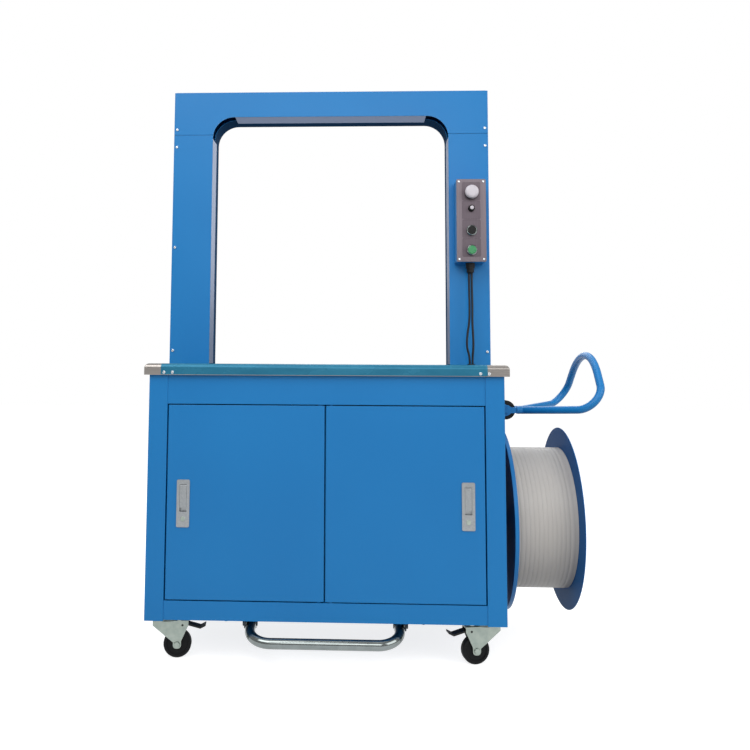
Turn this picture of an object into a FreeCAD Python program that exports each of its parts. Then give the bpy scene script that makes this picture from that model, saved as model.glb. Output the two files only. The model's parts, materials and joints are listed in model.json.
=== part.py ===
"""Arch strapping machine on castors: cabinet, table, arch, control box, strap reel and foot bar.

Frame: +X right, +Y back, +Z up, millimetres; the origin is on the floor under the cabinet's centre.
"""
import FreeCAD, Part
import Sketcher
import math
import os
import re

VECTOR = FreeCAD.Vector
doc = FreeCAD.newDocument("StrappingMachine")
sheet = doc.addObject("Spreadsheet::Sheet", "Sizes")

# Driving sizes, in millimetres, degrees or counts
SIZES = {
    # General fits
    "steel": 2.0, "overrun": 4.0, "slip": 0.05, "loose": 0.3, "seam": 1.5,
    # Cabinet
    "cabinet_width": 962.0, "cabinet_depth": 562.0, "cabinet_base": 113.0,
    "post_width": 51.0, "jamb_depth": 18.0, "rear_flange": 30.0,
    "base_lift": 3.0, "rail_height": 50.0, "floor_sheet": 3.0, "lip_depth": 60.0,
    "apron_height": 78.0, "apron_lip": 30.0,
    "centre_post_width": 40.0, "centre_post_depth": 22.0, "centre_post_back": 4.0,
    "vent_length": 110.0, "vent_height": 6.0, "vent_pitch": 24.0, "vent_count": 9.0, "vent_top": 110.0,
    "vent_x": 220.0,
    # Doors
    "door_recess": 1.0, "door_gap": 3.0, "door_thickness": 18.0, "door_edge": 3.0, "hinge_inset": 16.0,
    "hinge_pin": 4.0, "hinge_pin_length": 7.5, "hinge_collar": 7.0,
    # Latches
    "latch_inset": 99.0, "latch_z": 422.0, "latch_width": 35.0, "latch_height": 126.0, "latch_lip": 2.2,
    "latch_corner": 4.0, "pan_width": 25.0, "pan_height": 106.0, "pan_depth": 13.0,
    "recess_width": 19.0, "recess_height": 72.0, "recess_depth": 9.5, "recess_up": 14.0,
    "lever_width": 18.0, "lever_thickness": 8.0, "lever_grip": 11.0, "lever_pin": 1.5,
    "barrel": 7.0, "barrel_down": 41.0, "cam_length": 50.0, "cam_width": 14.0, "cam_sheet": 2.5,
    "cam_back": 24.0,
    # Table
    "table_height": 797.0, "table_thickness": 31.0, "table_end": 13.0, "table_front": 10.0, "table_round": 12.0,
    "slot_end": 18.5, "slot_width": 26.0, "anvil_sheet": 6.0,
    # Arch
    "arch_proud": 4.0, "arch_height": 842.5, "arch_depth": 106.0, "arch_y": 10.0,
    "arch_post": 121.5, "beam_height": 78.5, "opening_corner": 66.0,
    "seam_down": 135.0, "edge_bevel": 8.0, "edge_drop": 1.5, "track_depth": 37.0, "guide_depth": 31.0,
    "gate_sheet": 2.0, "gate_gap": 0.5, "gate_roll": 2.0, "gate_foot": 2.0,
    # Screws
    "screw_head": 4.2, "screw_height": 2.6, "screw_inset": 10.0, "screw_over": 17.0,
    "screw_under": 38.0, "screw_up": 355.5, "screw_foot": 39.5,
    "table_screw_in": 69.0, "table_screw_out": 46.0, "table_screw_down": 23.5,
    # Control box
    "box_inset": 63.0, "box_width": 87.0, "box_up": 303.0, "box_height": 247.0, "box_depth": 63.0,
    "box_corner": 4.0, "plate_sheet": 2.0,
    "stop_up": 205.6, "knob_up": 158.6, "black_up": 92.3, "green_up": 34.0,
    "bezel": 15.5, "bezel_height": 12.0, "bezel_floor": 3.0, "button": 12.5, "button_proud": 1.0,
    "button_travel": 5.0, "stem": 8.0, "collar_height": 6.0, "mushroom": 20.0, "mushroom_height": 13.0,
    "mushroom_gap": 6.0,
    "knob": 10.0, "knob_height": 15.0, "knob_shaft": 3.0, "cap_step": 1.5,
    # Glands and control cables
    "gland": 13.5, "gland_height": 32.0, "gland_dome": 11.0, "gland_nut": 14.0, "grommet": 12.0,
    "grommet_height": 3.0, "cable": 3.25, "cable_y": -75.0, "bend_share": 0.45,
    "mains_inset": 101.0, "mains_z": 240.0, "mains_body": 10.0, "mains_bore": 5.0, "mains_length": 24.0,
    "mains_nut": 14.0, "mains_nut_height": 6.0,
    # Castors
    "castor_inset": 52.0, "castor_setback": 61.0, "castor_plate_length": 92.0, "castor_plate_width": 66.0,
    "castor_plate_sheet": 4.0, "race": 26.0, "race_height": 6.0, "fork_neck": 6.0, "fork_head": 25.0,
    "kingpin": 6.0, "kingpin_nut": 9.0, "kingpin_nut_height": 5.0,
    "fork_width": 34.0, "fork_gap": 28.0, "fork_back": 40.0, "fork_front": 56.0, "fork_roof": 4.0,
    "fork_boss": 11.0, "fork_skirt": 12.0, "fork_waist": 46.0,
    "wheel": 37.5, "wheel_width": 24.0, "wheel_round": 5.0, "hub_width": 26.5, "hub": 12.0,
    "wheel_dish": 3.0, "tyre_depth": 9.0,
    "axle": 5.0, "axle_head": 8.0, "axle_head_height": 4.0, "trail": 26.0,
    "pedal_pivot_x": 40.0, "pedal_pivot_z": 88.0, "pedal_reach": 102.0, "pedal_width": 26.0,
    "pedal_sheet": 5.0, "pedal_drop": 9.0, "pedal_tip": 7.0, "pedal_heel": 8.0, "pedal_toe": 14.0,
    "pedal_pin": 3.0,
    "turn_front_left": 6.0, "turn_front_right": 190.0, "turn_rear_left": 20.0, "turn_rear_right": 165.0,
    # Foot bar
    "foot_tube": 14.0, "foot_span": 402.0, "foot_y": -300.0, "foot_z": 67.3, "foot_bend": 60.0,
    "foot_pivot_y": -215.0, "foot_pivot_z": 93.0, "foot_pin": 5.0, "foot_ear": 4.0, "foot_ear_width": 34.0,
    "foot_ear_round": 14.0, "foot_eye": 14.0, "foot_eye_width": 28.0, "foot_pin_head": 9.0,
    "foot_pin_head_height": 5.0,
    # Reel
    "reel_y": 10.0, "reel_down": 419.0, "reel_out": 40.0, "reel_width": 174.5, "flange": 262.6,
    "flange_sheet": 2.5, "rim_width": 11.0, "rim_sheet": 3.0, "drum": 100.0, "drum_wall": 3.0,
    "reel_hub": 22.0, "coil": 202.3, "coil_gap": 0.4,
    "spindle": 12.5, "spindle_flange": 55.0, "spindle_plate": 6.0, "spindle_boss": 24.0,
    "nut": 32.0, "nut_height": 18.0, "nut_lobe": 9.0, "rib_radius": 150.0,
    "rib_height": 4.0, "rib_width": 14.0, "nut_lobes": 6.0,
    "strap_width": 12.0, "strap_sheet": 0.8, "strap_bed": 0.2, "strap_turns": 12.0,
    "beads_per_turn": 48.0,
    # Strap arm
    "arm_stand": 54.0, "arm_over": 315.0, "arm_tube": 11.0, "arm_near": 19.0, "arm_neck": 52.0,
    "arm_out": 233.0, "arm_side": 229.0, "arm_lift": 15.0, "arm_reach": 250.0, "arm_rise": 245.0,
    "arm_crown": 191.0, "arm_bend": 55.0, "arm_bend_near": 15.0, "arm_lug": 31.0, "arm_eye": 14.0,
    "arm_eye_width": 12.0,
    "roller": 29.0, "roller_width": 22.0, "roller_groove": 3.0, "pin": 6.0,
    "arm_ear": 5.0, "arm_ear_round": 12.0, "arm_ear_clear": 1.0, "arm_plate_height": 90.0,
    "arm_plate_sheet": 5.0, "pin_head": 9.0, "pin_head_height": 4.0,
    # Inside the cabinet
    "head_width": 230.0, "head_front": -70.0, "head_back": 96.0, "head_down": 166.0, "head_top_sheet": 10.0,
    "side_plate": 10.0, "head_tail": 290.0, "cam_stack": 34.0, "cam_count": 4.0, "cam_disc": 3.0, "cam_thick": 12.0,
    "cam_pitch": 5.0, "cam_down": 111.0, "head_inset": 18.0,
    "feed_x": 215.0, "feed_down": 51.0, "feed_roller": 30.0, "feed_width": 20.0, "feed_shaft": 6.0,
    "pinch_roller": 19.0, "feed_side": 4.0,
    "motor": 55.0, "motor_length": 190.0, "motor_y": 40.0, "motor_down": 111.0,
    "gearbox": 90.0, "gearbox_length": 25.0, "motor_foot": 8.0,
    "pool_x": 70.0, "pool_inset": 31.0, "pool_y": 190.0, "pool_depth": 70.0, "pool_height": 420.0,
    "pool_sheet": 5.0, "pool_window": 40.0,
    "electric_inset": 41.0, "electric_width": 280.0, "electric_depth": 140.0, "electric_height": 330.0,
    "lid_proud": 3.0, "lid_inset": 8.0,
}
# Places and widths that follow other sizes
PLACES = {
    "cabinet_top": "table_height - table_thickness",
    "latch_x": "cabinet_width/2 - latch_inset",
    "arch_width": "cabinet_width + arch_proud + arch_proud", "arch_top": "table_height + arch_height",
    "opening_width": "arch_width - arch_post - arch_post", "opening_top": "arch_top - beam_height",
    "slot_length": "opening_width - slot_end - slot_end", "seam_z": "arch_top - seam_down",
    "screw_z_one": "seam_z + screw_over", "screw_z_two": "seam_z - screw_under",
    "screw_z_three": "table_height + screw_up", "screw_z_four": "table_height + screw_foot",
    "table_screw_near": "arch_width/2 - table_screw_in", "table_screw_far": "arch_width/2 - table_screw_out",
    "box_x": "arch_width/2 - box_inset", "box_low": "table_height + box_up",
    "stop_z": "box_low + stop_up", "knob_z": "box_low + knob_up", "black_z": "box_low + black_up",
    "green_z": "box_low + green_up", "mains_x": "mains_inset - cabinet_width/2",
    "castor_x": "cabinet_width/2 - castor_inset", "castor_y": "cabinet_depth/2 - castor_setback",
    "reel_z": "cabinet_top - reel_down", "reel_start": "cabinet_width/2 + reel_out",
    "arm_x": "cabinet_width/2 + arm_stand", "arm_z": "reel_z + arm_over",
    "head_low": "cabinet_top - head_down", "cam_z": "cabinet_top - cam_down",
    "feed_z": "cabinet_top - feed_down", "motor_z": "cabinet_top - motor_down",
    "motor_x": "-(head_width/2 + gearbox_length + motor_length)",
    "pool_width": "cabinet_width/2 - pool_inset - pool_x", "electric_x": "electric_inset - cabinet_width/2",
}
for row, (alias, value) in enumerate(SIZES.items(), start=1):
    sheet.set("A%d" % row, alias)
    sheet.set("B%d" % row, str(value))
    sheet.setAlias("B%d" % row, alias)
doc.recompute()

NAME = re.compile(r"[a-z][a-z_]*")
NODES = {}


def bound(words):
    """An expression of sheet aliases, as the document's expression engine reads it."""
    def full(found):
        word = found.group(0)
        if word in PLACES:
            return "(%s)" % bound(PLACES[word])
        return "Sizes." + word if word in SIZES else word
    return NAME.sub(full, str(words))


def number(words):
    """The same expression's present value, for a starting position."""
    return float(sheet.evalExpression(bound(words)))


def minus(words):
    return "-(%s)" % words


def node(name, thing):
    """Names a finished sub-part."""
    thing.Label = name
    NODES[name] = thing
    return thing


def new_body(name):
    return doc.addObject("PartDesign::Body", name)


def new_sketch(body, role, offset):
    """A sketch on one of the body's origin planes, moved by three expressions in its own axes."""
    drawing = body.newObject("Sketcher::SketchObject", body.Name + "_outline")
    plane = [part for part in body.Origin.OriginFeatures if part.Role == role][0]
    drawing.AttachmentSupport = [(plane, "")]
    drawing.MapMode = "FlatFace"
    for axis, words in zip("xyz", offset):
        drawing.setExpression("AttachmentOffset.Base." + axis, bound(words))
    return drawing


def draw_outline(drawing, points):
    """A closed outline of straight runs; a third value at a point rounds that corner."""
    places = [VECTOR(number(point[0]), number(point[1]), 0) for point in points]
    count = len(points)
    lines, arcs, starts, ends = [], {}, [], []
    for i, point in enumerate(points):
        here = places[i]
        if len(point) < 3:
            starts.append(here)
            ends.append(here)
            continue
        back = (places[i - 1] - here).normalize()
        ahead = (places[(i + 1) % count] - here).normalize()
        radius = number(point[2])
        half = back.getAngle(ahead) / 2
        reach = radius / math.tan(half)
        middle = here + (back + ahead).normalize() * (radius / math.sin(half))
        ends.append(here + back * reach)
        starts.append(here + ahead * reach)
        arcs[i] = (middle, radius)
    for i in range(count):
        lines.append(drawing.addGeometry(Part.LineSegment(starts[i], ends[(i + 1) % count]), False))
    for i, point in enumerate(points):
        before, after = lines[i - 1], lines[i]
        if i not in arcs:
            drawing.addConstraint(Sketcher.Constraint("Coincident", before, 2, after, 1))
            corner, end = after, 1
        else:
            middle, radius = arcs[i]
            first = math.atan2(ends[i].y - middle.y, ends[i].x - middle.x)
            last = math.atan2(starts[i].y - middle.y, starts[i].x - middle.x)
            turn = (last - first) % math.tau
            circle = Part.Circle(middle, VECTOR(0, 0, 1), radius)
            if turn < math.pi:
                arc = drawing.addGeometry(Part.ArcOfCircle(circle, first, first + turn), False)
                near, far = 1, 2
            else:
                arc = drawing.addGeometry(Part.ArcOfCircle(circle, last, last + math.tau - turn), False)
                near, far = 2, 1
            drawing.addConstraint(Sketcher.Constraint("Tangent", before, 2, arc, near))
            drawing.addConstraint(Sketcher.Constraint("Tangent", arc, far, after, 1))
            row = drawing.addConstraint(Sketcher.Constraint("Radius", arc, radius))
            drawing.setExpression("Constraints[%d]" % row, bound(point[2]))
            corner = drawing.addGeometry(Part.Point(places[i]), True)
            end = 1
            drawing.addConstraint(Sketcher.Constraint("PointOnObject", corner, 1, before))
            drawing.addConstraint(Sketcher.Constraint("PointOnObject", corner, 1, after))
        for kind, words in (("DistanceX", point[0]), ("DistanceY", point[1])):
            row = drawing.addConstraint(Sketcher.Constraint(kind, -1, 1, corner, end, number(words)))
            drawing.setExpression("Constraints[%d]" % row, bound(words))


def prism(body, role, points, low, high, cut=False):
    """Extrudes an outline between two places along the plane's axis, adding to the body or cutting it."""
    flipped = role == "XZ_Plane"
    start = high if flipped != cut else low
    drawing = new_sketch(body, role, ("0", "0", minus(start) if flipped else start))
    draw_outline(drawing, points)
    feature = body.newObject("PartDesign::Pocket" if cut else "PartDesign::Pad", body.Name + "_prism")
    before = body.Shape.Volume if cut else 0.0
    feature.Profile = drawing
    feature.setExpression("Length", bound("(%s) - (%s)" % (high, low)))
    drawing.Visibility = False
    doc.recompute()
    if cut and body.Shape.Volume >= before:
        raise RuntimeError("a cut removed nothing from " + body.Name)
    return feature


def turned(body, axis, centre, points, cut=False):
    """Revolves an outline of (place along the axis, radius) about an axis through centre."""
    x, y, z = centre
    role, edge, offset = {"X": ("XZ_Plane", "H_Axis", (x, z, minus(y))),
                          "Y": ("XY_Plane", "V_Axis", (x, y, z)),
                          "Z": ("XZ_Plane", "V_Axis", (x, z, minus(y)))}[axis]
    drawing = new_sketch(body, role, offset)
    if axis != "X":
        points = [(point[1], point[0]) + tuple(point[2:]) for point in points]
    draw_outline(drawing, points)
    before = body.Shape.Volume if cut else 0.0
    kind = "PartDesign::Groove" if cut else "PartDesign::Revolution"
    feature = body.newObject(kind, body.Name + "_turned")
    feature.Profile = drawing
    feature.ReferenceAxis = (drawing, [edge])
    feature.Angle = 360
    drawing.Visibility = False
    doc.recompute()
    if cut and body.Shape.Volume >= before:
        raise RuntimeError("a groove removed nothing from " + body.Name)
    return feature


def rectangle(low_x, high_x, low_y, high_y, *corner):
    return [(low_x, low_y) + corner, (high_x, low_y) + corner, (high_x, high_y) + corner,
            (low_x, high_y) + corner]


def round_rod(name, axis, centre, radius, low, high):
    """A plain cylinder along an axis, from low to high measured from centre."""
    rod = doc.addObject("Part::Cylinder", name)
    rod.setExpression("Radius", bound(radius))
    rod.setExpression("Height", bound("(%s) - (%s)" % (high, low)))
    start = list(centre)
    place = "XYZ".index(axis)
    start[place] = "(%s) + (%s)" % (start[place], low)
    turn = {"X": ((0, 1, 0), 90), "Y": ((1, 0, 0), -90), "Z": ((0, 0, 1), 0)}[axis]
    rod.Placement = FreeCAD.Placement(VECTOR(), FreeCAD.Rotation(VECTOR(*turn[0]), turn[1]))
    for letter, words in zip("xyz", start):
        rod.setExpression("Placement.Base." + letter, bound(words))
    return rod


def block(name, low_x, high_x, low_y, high_y, low_z, high_z):
    """A plain box between two corners."""
    box = doc.addObject("Part::Box", name)
    for size, start, low, high in (("Length", "x", low_x, high_x), ("Width", "y", low_y, high_y),
                                   ("Height", "z", low_z, high_z)):
        box.setExpression(size, bound("(%s) - (%s)" % (high, low)))
        box.setExpression("Placement.Base." + start, bound(low))
    return box


def cut_from(name, base, tools):
    for tool in tools:
        result = doc.addObject("Part::Cut", name + "_cut")
        result.Base = base
        result.Tool = tool
        base = result
    return base


def common(name, base, tool):
    result = doc.addObject("Part::Common", name + "_part")
    result.Base = base
    result.Tool = tool
    return result


def joined(name, pieces):
    result = doc.addObject("Part::MultiFuse", name + "_joined")
    result.Shapes = pieces
    return result


def group(name, pieces):
    result = doc.addObject("Part::Compound", name + "_group")
    result.Links = pieces
    return result


def stand(thing, x, y, z, turn="0"):
    """Moves a piece that was built about its own origin to its place, turned about the vertical."""
    for letter, words in (("x", x), ("y", y), ("z", z)):
        thing.setExpression("Placement.Base." + letter, bound(words))
    thing.setExpression("Placement.Rotation.Angle", bound(turn))
    return thing


def rounded_path(points, bends):
    """A wire of straight runs joined by tangent arcs; bends gives each inner corner's radius."""
    edges = []
    start = points[0]
    for i in range(1, len(points) - 1):
        here = points[i]
        back = (points[i - 1] - here).normalize()
        ahead = (points[i + 1] - here).normalize()
        half = back.getAngle(ahead) / 2
        reach = bends[i - 1] / math.tan(half)
        middle = here + (back + ahead).normalize() * (bends[i - 1] / math.sin(half))
        first, last = here + back * reach, here + ahead * reach
        crown = middle + (here - middle).normalize() * bends[i - 1]
        if (first - start).Length > number("slip"):
            edges.append(Part.LineSegment(start, first).toShape())
        edges.append(Part.Arc(first, crown, last).toShape())
        start = last
    edges.append(Part.LineSegment(start, points[-1]).toShape())
    return Part.Wire(edges)


def tube(name, points, bends, radius):
    """A round bar swept along a rounded path."""
    path = rounded_path(points, bends)
    first = path.Edges[0]
    heading = first.tangentAt(first.FirstParameter)
    ring = Part.Wire([Part.Circle(points[0], heading, radius).toShape()])
    shape = path.makePipeShell([ring], True, False)
    thing = doc.addObject("Part::Feature", name)
    thing.Shape = shape
    return thing


def spot(x, y, z):
    return VECTOR(number(x), number(y), number(z))


# Cabinet
HALF_WIDTH = "cabinet_width/2"
FRONT = "-cabinet_depth/2"
BACK = "cabinet_depth/2"
JAMB = "(cabinet_width/2 - post_width)"
RAIL_LOW = "(cabinet_base + base_lift)"
RAIL_TOP = "(cabinet_base + base_lift + rail_height)"
APRON_LOW = "(cabinet_top - apron_height)"
LIP_BACK = "(-cabinet_depth/2 + steel + lip_depth)"
HINGE_Y = "(-cabinet_depth/2 + door_recess + door_thickness/2)"


def make_side_panel(name, side):
    """A folded side: wall, front corner post with its door jamb, and rear flange."""
    body = new_body(name)
    reach = lambda words: "%s*(%s)" % (side, words)
    outer, inner = reach(HALF_WIDTH), reach(HALF_WIDTH + " - steel")
    post, lip = reach(JAMB), reach(JAMB + " + steel")
    flange = reach(HALF_WIDTH + " - rear_flange")
    prism(body, "XY_Plane", [
        (outer, FRONT), (post, FRONT), (post, FRONT + " + jamb_depth"), (lip, FRONT + " + jamb_depth"),
        (lip, FRONT + " + steel"), (inner, FRONT + " + steel"), (inner, BACK + " - steel"),
        (flange, BACK + " - steel"), (flange, BACK), (outer, BACK)], "cabinet_base", "cabinet_top")
    return body


def make_base_frame():
    """The welded base tray, whose front rail is a folded channel with the lower hinge holes."""
    body = new_body("base_frame")
    wide, deep = HALF_WIDTH + " - steel", BACK + " - steel"
    notch = FRONT + " + jamb_depth"
    face = FRONT + " + steel"
    prism(body, "XY_Plane", [
        (minus(JAMB), face), (JAMB, face), (JAMB, notch), (wide, notch), (wide, deep),
        (minus(wide), deep), (minus(wide), notch), (minus(JAMB), notch)], RAIL_LOW, RAIL_TOP)
    prism(body, "XY_Plane", rectangle(minus(wide + " - steel"), wide + " - steel", LIP_BACK,
                                      deep + " - steel"),
          RAIL_LOW + " + floor_sheet", RAIL_TOP, cut=True)
    prism(body, "YZ_Plane", rectangle(face + " + jamb_depth", LIP_BACK, RAIL_LOW + " + floor_sheet",
                                      RAIL_TOP + " - steel"),
          minus(wide + " - steel"), wide + " - steel", cut=True)
    prism(body, "YZ_Plane", rectangle(face + " + steel", face + " + jamb_depth",
                                      RAIL_LOW + " + floor_sheet", RAIL_TOP + " - steel"),
          minus(JAMB + " - steel"), JAMB + " - steel", cut=True)
    holes = [round_rod("hinge_hole", "Z", (side + "hinge_inset", HINGE_Y, RAIL_TOP), "hinge_pin + slip",
                       "-steel - overrun", "overrun") for side in ("-", "")]
    return cut_from("base_frame", body, holes)


def make_front_apron():
    """The upper front rail, a folded channel, with the centre post that the doors close against."""
    body = new_body("front_apron")
    face = FRONT + " + steel"
    lip = FRONT + " + steel + apron_lip"
    prism(body, "YZ_Plane", [
        (face, APRON_LOW), (LIP_BACK, APRON_LOW), (LIP_BACK, APRON_LOW + " + steel"),
        (face + " + steel", APRON_LOW + " + steel"), (face + " + steel", "cabinet_top - steel"),
        (lip, "cabinet_top - steel"), (lip, "cabinet_top"), (face, "cabinet_top")], minus(JAMB), JAMB)
    low = LIP_BACK + " - centre_post_back - centre_post_depth"
    high = LIP_BACK + " - centre_post_back"
    half = "centre_post_width/2"
    prism(body, "XY_Plane", [
        (minus(half), low), (half, low), (half, high), (half + " - steel", high),
        (half + " - steel", low + " + steel"), ("-(" + half + " - steel)", low + " + steel"),
        ("-(" + half + " - steel)", high), (minus(half), high)], RAIL_TOP, APRON_LOW)
    holes = [round_rod("hinge_hole", "Z", (side + "hinge_inset", HINGE_Y, APRON_LOW), "hinge_pin + slip",
                       "-overrun", "steel + overrun") for side in ("-", "")]
    return cut_from("front_apron", body, holes)


def make_rear_panel():
    """The rear cover with two ladders of ventilation slots and the mains inlet hole."""
    body = new_body("rear_panel")
    half = "(cabinet_width/2 - steel - overrun)"
    prism(body, "XZ_Plane", rectangle(minus(half), half, RAIL_TOP, "cabinet_top - steel"),
          BACK + " - steel - steel", BACK + " - steel")
    slots = []
    for side in ("-", ""):
        top = "cabinet_top - vent_top"
        middle = side + "vent_x"
        slot = prism(body, "XZ_Plane", rectangle(
            middle + " - vent_length/2", middle + " + vent_length/2", top + " - vent_height", top),
            BACK + " - steel - steel - overrun", BACK + " - steel + overrun", cut=True)
        pattern = body.newObject("PartDesign::LinearPattern", "vent_ladder")
        pattern.Originals = [slot]
        pattern.Direction = (slot.Profile[0], ["V_Axis"])
        pattern.Reversed = True
        pattern.setExpression("Length", bound("vent_pitch*(vent_count - 1)"))
        pattern.setExpression("Occurrences", bound("vent_count"))
        body.Tip = pattern
        doc.recompute()
    hole = round_rod("mains_hole", "Y", ("mains_x", BACK, "mains_z"), "mains_body + slip",
                     "-steel - steel - overrun", "overrun")
    return cut_from("rear_panel", body, [hole])


node("left_side_panel", make_side_panel("left_side_panel", "-1"))
node("right_side_panel", make_side_panel("right_side_panel", "1"))
node("base_frame", make_base_frame())
node("front_apron", make_front_apron())
node("rear_panel", make_rear_panel())

# Table
TABLE_HALF = "(cabinet_width/2 + table_end)"


def make_table_top():
    """The stainless top, rounded over along all four edges, with the strap slot under the arch."""
    body = new_body("table_top")
    low, high = FRONT + " - table_front", BACK + " + table_front"
    prism(body, "XZ_Plane", [
        (minus(TABLE_HALF), "cabinet_top"), (TABLE_HALF, "cabinet_top"),
        (TABLE_HALF, "table_height", "table_round"), (minus(TABLE_HALF), "table_height", "table_round")],
        low, high)
    prism(body, "XY_Plane", rectangle("-slot_length/2", "slot_length/2", "arch_y - slot_width/2",
                                      "arch_y + slot_width/2"),
          "cabinet_top - overrun", "table_height + overrun", cut=True)
    section = new_body("table_section")
    prism(section, "YZ_Plane", [
        (low, "cabinet_top"), (high, "cabinet_top"), (high, "table_height", "table_round"),
        (low, "table_height", "table_round")], minus(TABLE_HALF), TABLE_HALF)
    return common("table_top", body, section)


def make_anvil_plate():
    """The strip that closes the strap slot, with the strap's own narrow gap down its middle."""
    body = new_body("anvil_plate")
    half, near = "(slot_length/2 - loose)", "(slot_width/2 - loose)"
    prism(body, "XY_Plane", rectangle(minus(half), half, "arch_y - " + near, "arch_y + " + near),
          "table_height - anvil_sheet", "table_height")
    prism(body, "YZ_Plane", rectangle("arch_y - slot_width/4", "arch_y + slot_width/4",
                                      "table_height - steel", "table_height + overrun"),
          minus(half + " + overrun"), half + " + overrun", cut=True)
    return body


node("table_top", make_table_top())
node("anvil_plate", make_anvil_plate())

# Arch
ARCH_FRONT = "(arch_y - arch_depth/2)"
ARCH_REAR = "(arch_y + arch_depth/2)"
ARCH_HALF = "arch_width/2"
OPEN_HALF = "opening_width/2"


def arch_outline(outer, top, foot, opening, opening_top):
    """The arch seen from the front: two legs and a beam around the rounded opening."""
    return [(minus(outer), foot), (minus(opening), foot), (minus(opening), opening_top, "opening_corner"),
            (opening, opening_top, "opening_corner"), (opening, foot), (outer, foot), (outer, top),
            (minus(outer), top)]


def whole_arch():
    return arch_outline(ARCH_HALF, "arch_top", "table_height", OPEN_HALF, "opening_top")


def make_arch_channel():
    """The rear shell: a back wall, the inner wall behind the strap track and two corner guides."""
    body = new_body("arch_channel")
    prism(body, "XZ_Plane", whole_arch(), ARCH_REAR + " - steel", ARCH_REAR)
    wide, high, corner = OPEN_HALF + " + steel", "opening_top + steel", "opening_corner + steel"
    prism(body, "XZ_Plane", [
        (minus(wide), "table_height"), (minus(OPEN_HALF), "table_height"),
        (minus(OPEN_HALF), "opening_top", "opening_corner"), (OPEN_HALF, "opening_top", "opening_corner"),
        (OPEN_HALF, "table_height"), (wide, "table_height"), (wide, high, corner),
        (minus(wide), high, corner)], ARCH_REAR + " - track_depth", ARCH_REAR + " - steel")
    for side in ("-1", "1"):
        reach = lambda words: "%s*(%s)" % (side, words)
        end = OPEN_HALF + " - opening_corner - steel/2"
        foot = "opening_top - opening_corner - steel/2"
        prism(body, "XZ_Plane", [
            (reach(OPEN_HALF), foot), (reach(wide), foot), (reach(wide), high, corner),
            (reach(end), high), (reach(end), "opening_top"), (reach(OPEN_HALF), "opening_top",
                                                              "opening_corner")],
            ARCH_REAR + " - track_depth - guide_depth", ARCH_REAR + " - track_depth")
    return body


def make_front_shell():
    """The whole folded front shell, before it is parted at the seams into three covers."""
    body = new_body("front_shell")
    back = ARCH_REAR + " - steel"
    prism(body, "XZ_Plane", whole_arch(), ARCH_FRONT, back)
    edge, drop = "edge_bevel", "edge_drop"
    for side in ("-1", "1"):
        reach = lambda words: "%s*(%s)" % (side, words)
        prism(body, "XY_Plane", [
            (reach(ARCH_HALF + " - " + edge), ARCH_FRONT + " - overrun"),
            (reach(ARCH_HALF + " - " + edge), ARCH_FRONT),
            (reach(ARCH_HALF), ARCH_FRONT + " + " + drop),
            (reach(ARCH_HALF + " + overrun"), ARCH_FRONT + " + " + drop),
            (reach(ARCH_HALF + " + overrun"), ARCH_FRONT + " - overrun")],
            "table_height - overrun", "arch_top + overrun", cut=True)
    hollow = arch_outline("(" + ARCH_HALF + " - steel)", "arch_top - steel", "table_height - overrun",
                          "(" + OPEN_HALF + " - overrun)", "(opening_top - overrun)")
    prism(body, "XZ_Plane", hollow, ARCH_FRONT + " + steel", back + " + overrun", cut=True)
    return body


def make_arch_cover(name, shell, low_x, high_x, low_z, high_z):
    zone = block(name + "_zone", low_x, high_x, ARCH_FRONT + " - overrun", ARCH_REAR, low_z, high_z)
    return common(name, shell, zone)


def make_gate(name, side):
    """A sprung flap that closes the strap track on an upright, with its rolled hinge edge."""
    body = new_body(name)
    reach = lambda words: "%s*(%s)" % (side, words)
    low, high = "table_height + gate_foot", "opening_top - opening_corner - gate_foot"
    front = ARCH_FRONT + " + steel + gate_gap"
    back = ARCH_REAR + " - track_depth - gate_roll - gate_gap"
    prism(body, "XY_Plane", [
        (reach(OPEN_HALF), front), (reach(OPEN_HALF + " + gate_sheet"), front),
        (reach(OPEN_HALF + " + gate_sheet"), back), (reach(OPEN_HALF), back)], low, high)
    turned(body, "Z", (reach(OPEN_HALF + " + gate_roll"), back, "0"),
           [(low, "0"), (low, "gate_roll"), (high, "gate_roll"), (high, "0")])
    return body


def make_top_gate():
    """The sprung flap under the beam, between the two open corners."""
    body = new_body("top_gate")
    half = "(opening_width/2 - opening_corner - gate_foot)"
    front = ARCH_FRONT + " + steel + gate_gap"
    back = ARCH_REAR + " - track_depth - gate_roll - gate_gap"
    prism(body, "YZ_Plane", rectangle(front, back, "opening_top", "opening_top + gate_sheet"),
          minus(half), half)
    turned(body, "X", ("0", back, "opening_top + gate_roll"),
           [(minus(half), "0"), (minus(half), "gate_roll"), (half, "gate_roll"), (half, "0")])
    return body


front_shell = make_front_shell()
node("arch_channel", make_arch_channel())
WAY_OUT = "(arch_width/2 + overrun)"
HALF_SEAM = "seam/4"
node("arch_cover_left", make_arch_cover("arch_cover_left", front_shell, minus(WAY_OUT), "0",
                                        "table_height", "seam_z - " + HALF_SEAM))
node("arch_cover_right", make_arch_cover("arch_cover_right", front_shell, "0", WAY_OUT,
                                         "table_height", "seam_z - " + HALF_SEAM))
node("arch_cover_top", make_arch_cover("arch_cover_top", front_shell, minus(WAY_OUT), WAY_OUT,
                                       "seam_z + " + HALF_SEAM, "arch_top + overrun"))
node("left_gate", make_gate("left_gate", "-1"))
node("right_gate", make_gate("right_gate", "1"))
node("top_gate", make_top_gate())


def make_screw(centre):
    """A domed screw head seen from the front, with its back on the sheet at centre."""
    body = new_body("screw")
    turned(body, "Y", centre, [("0", "0"), ("0", "screw_head"), ("-screw_height/2", "screw_head"),
                               ("-screw_height", "screw_head/2"), ("-screw_height", "0")])
    return body


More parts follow.
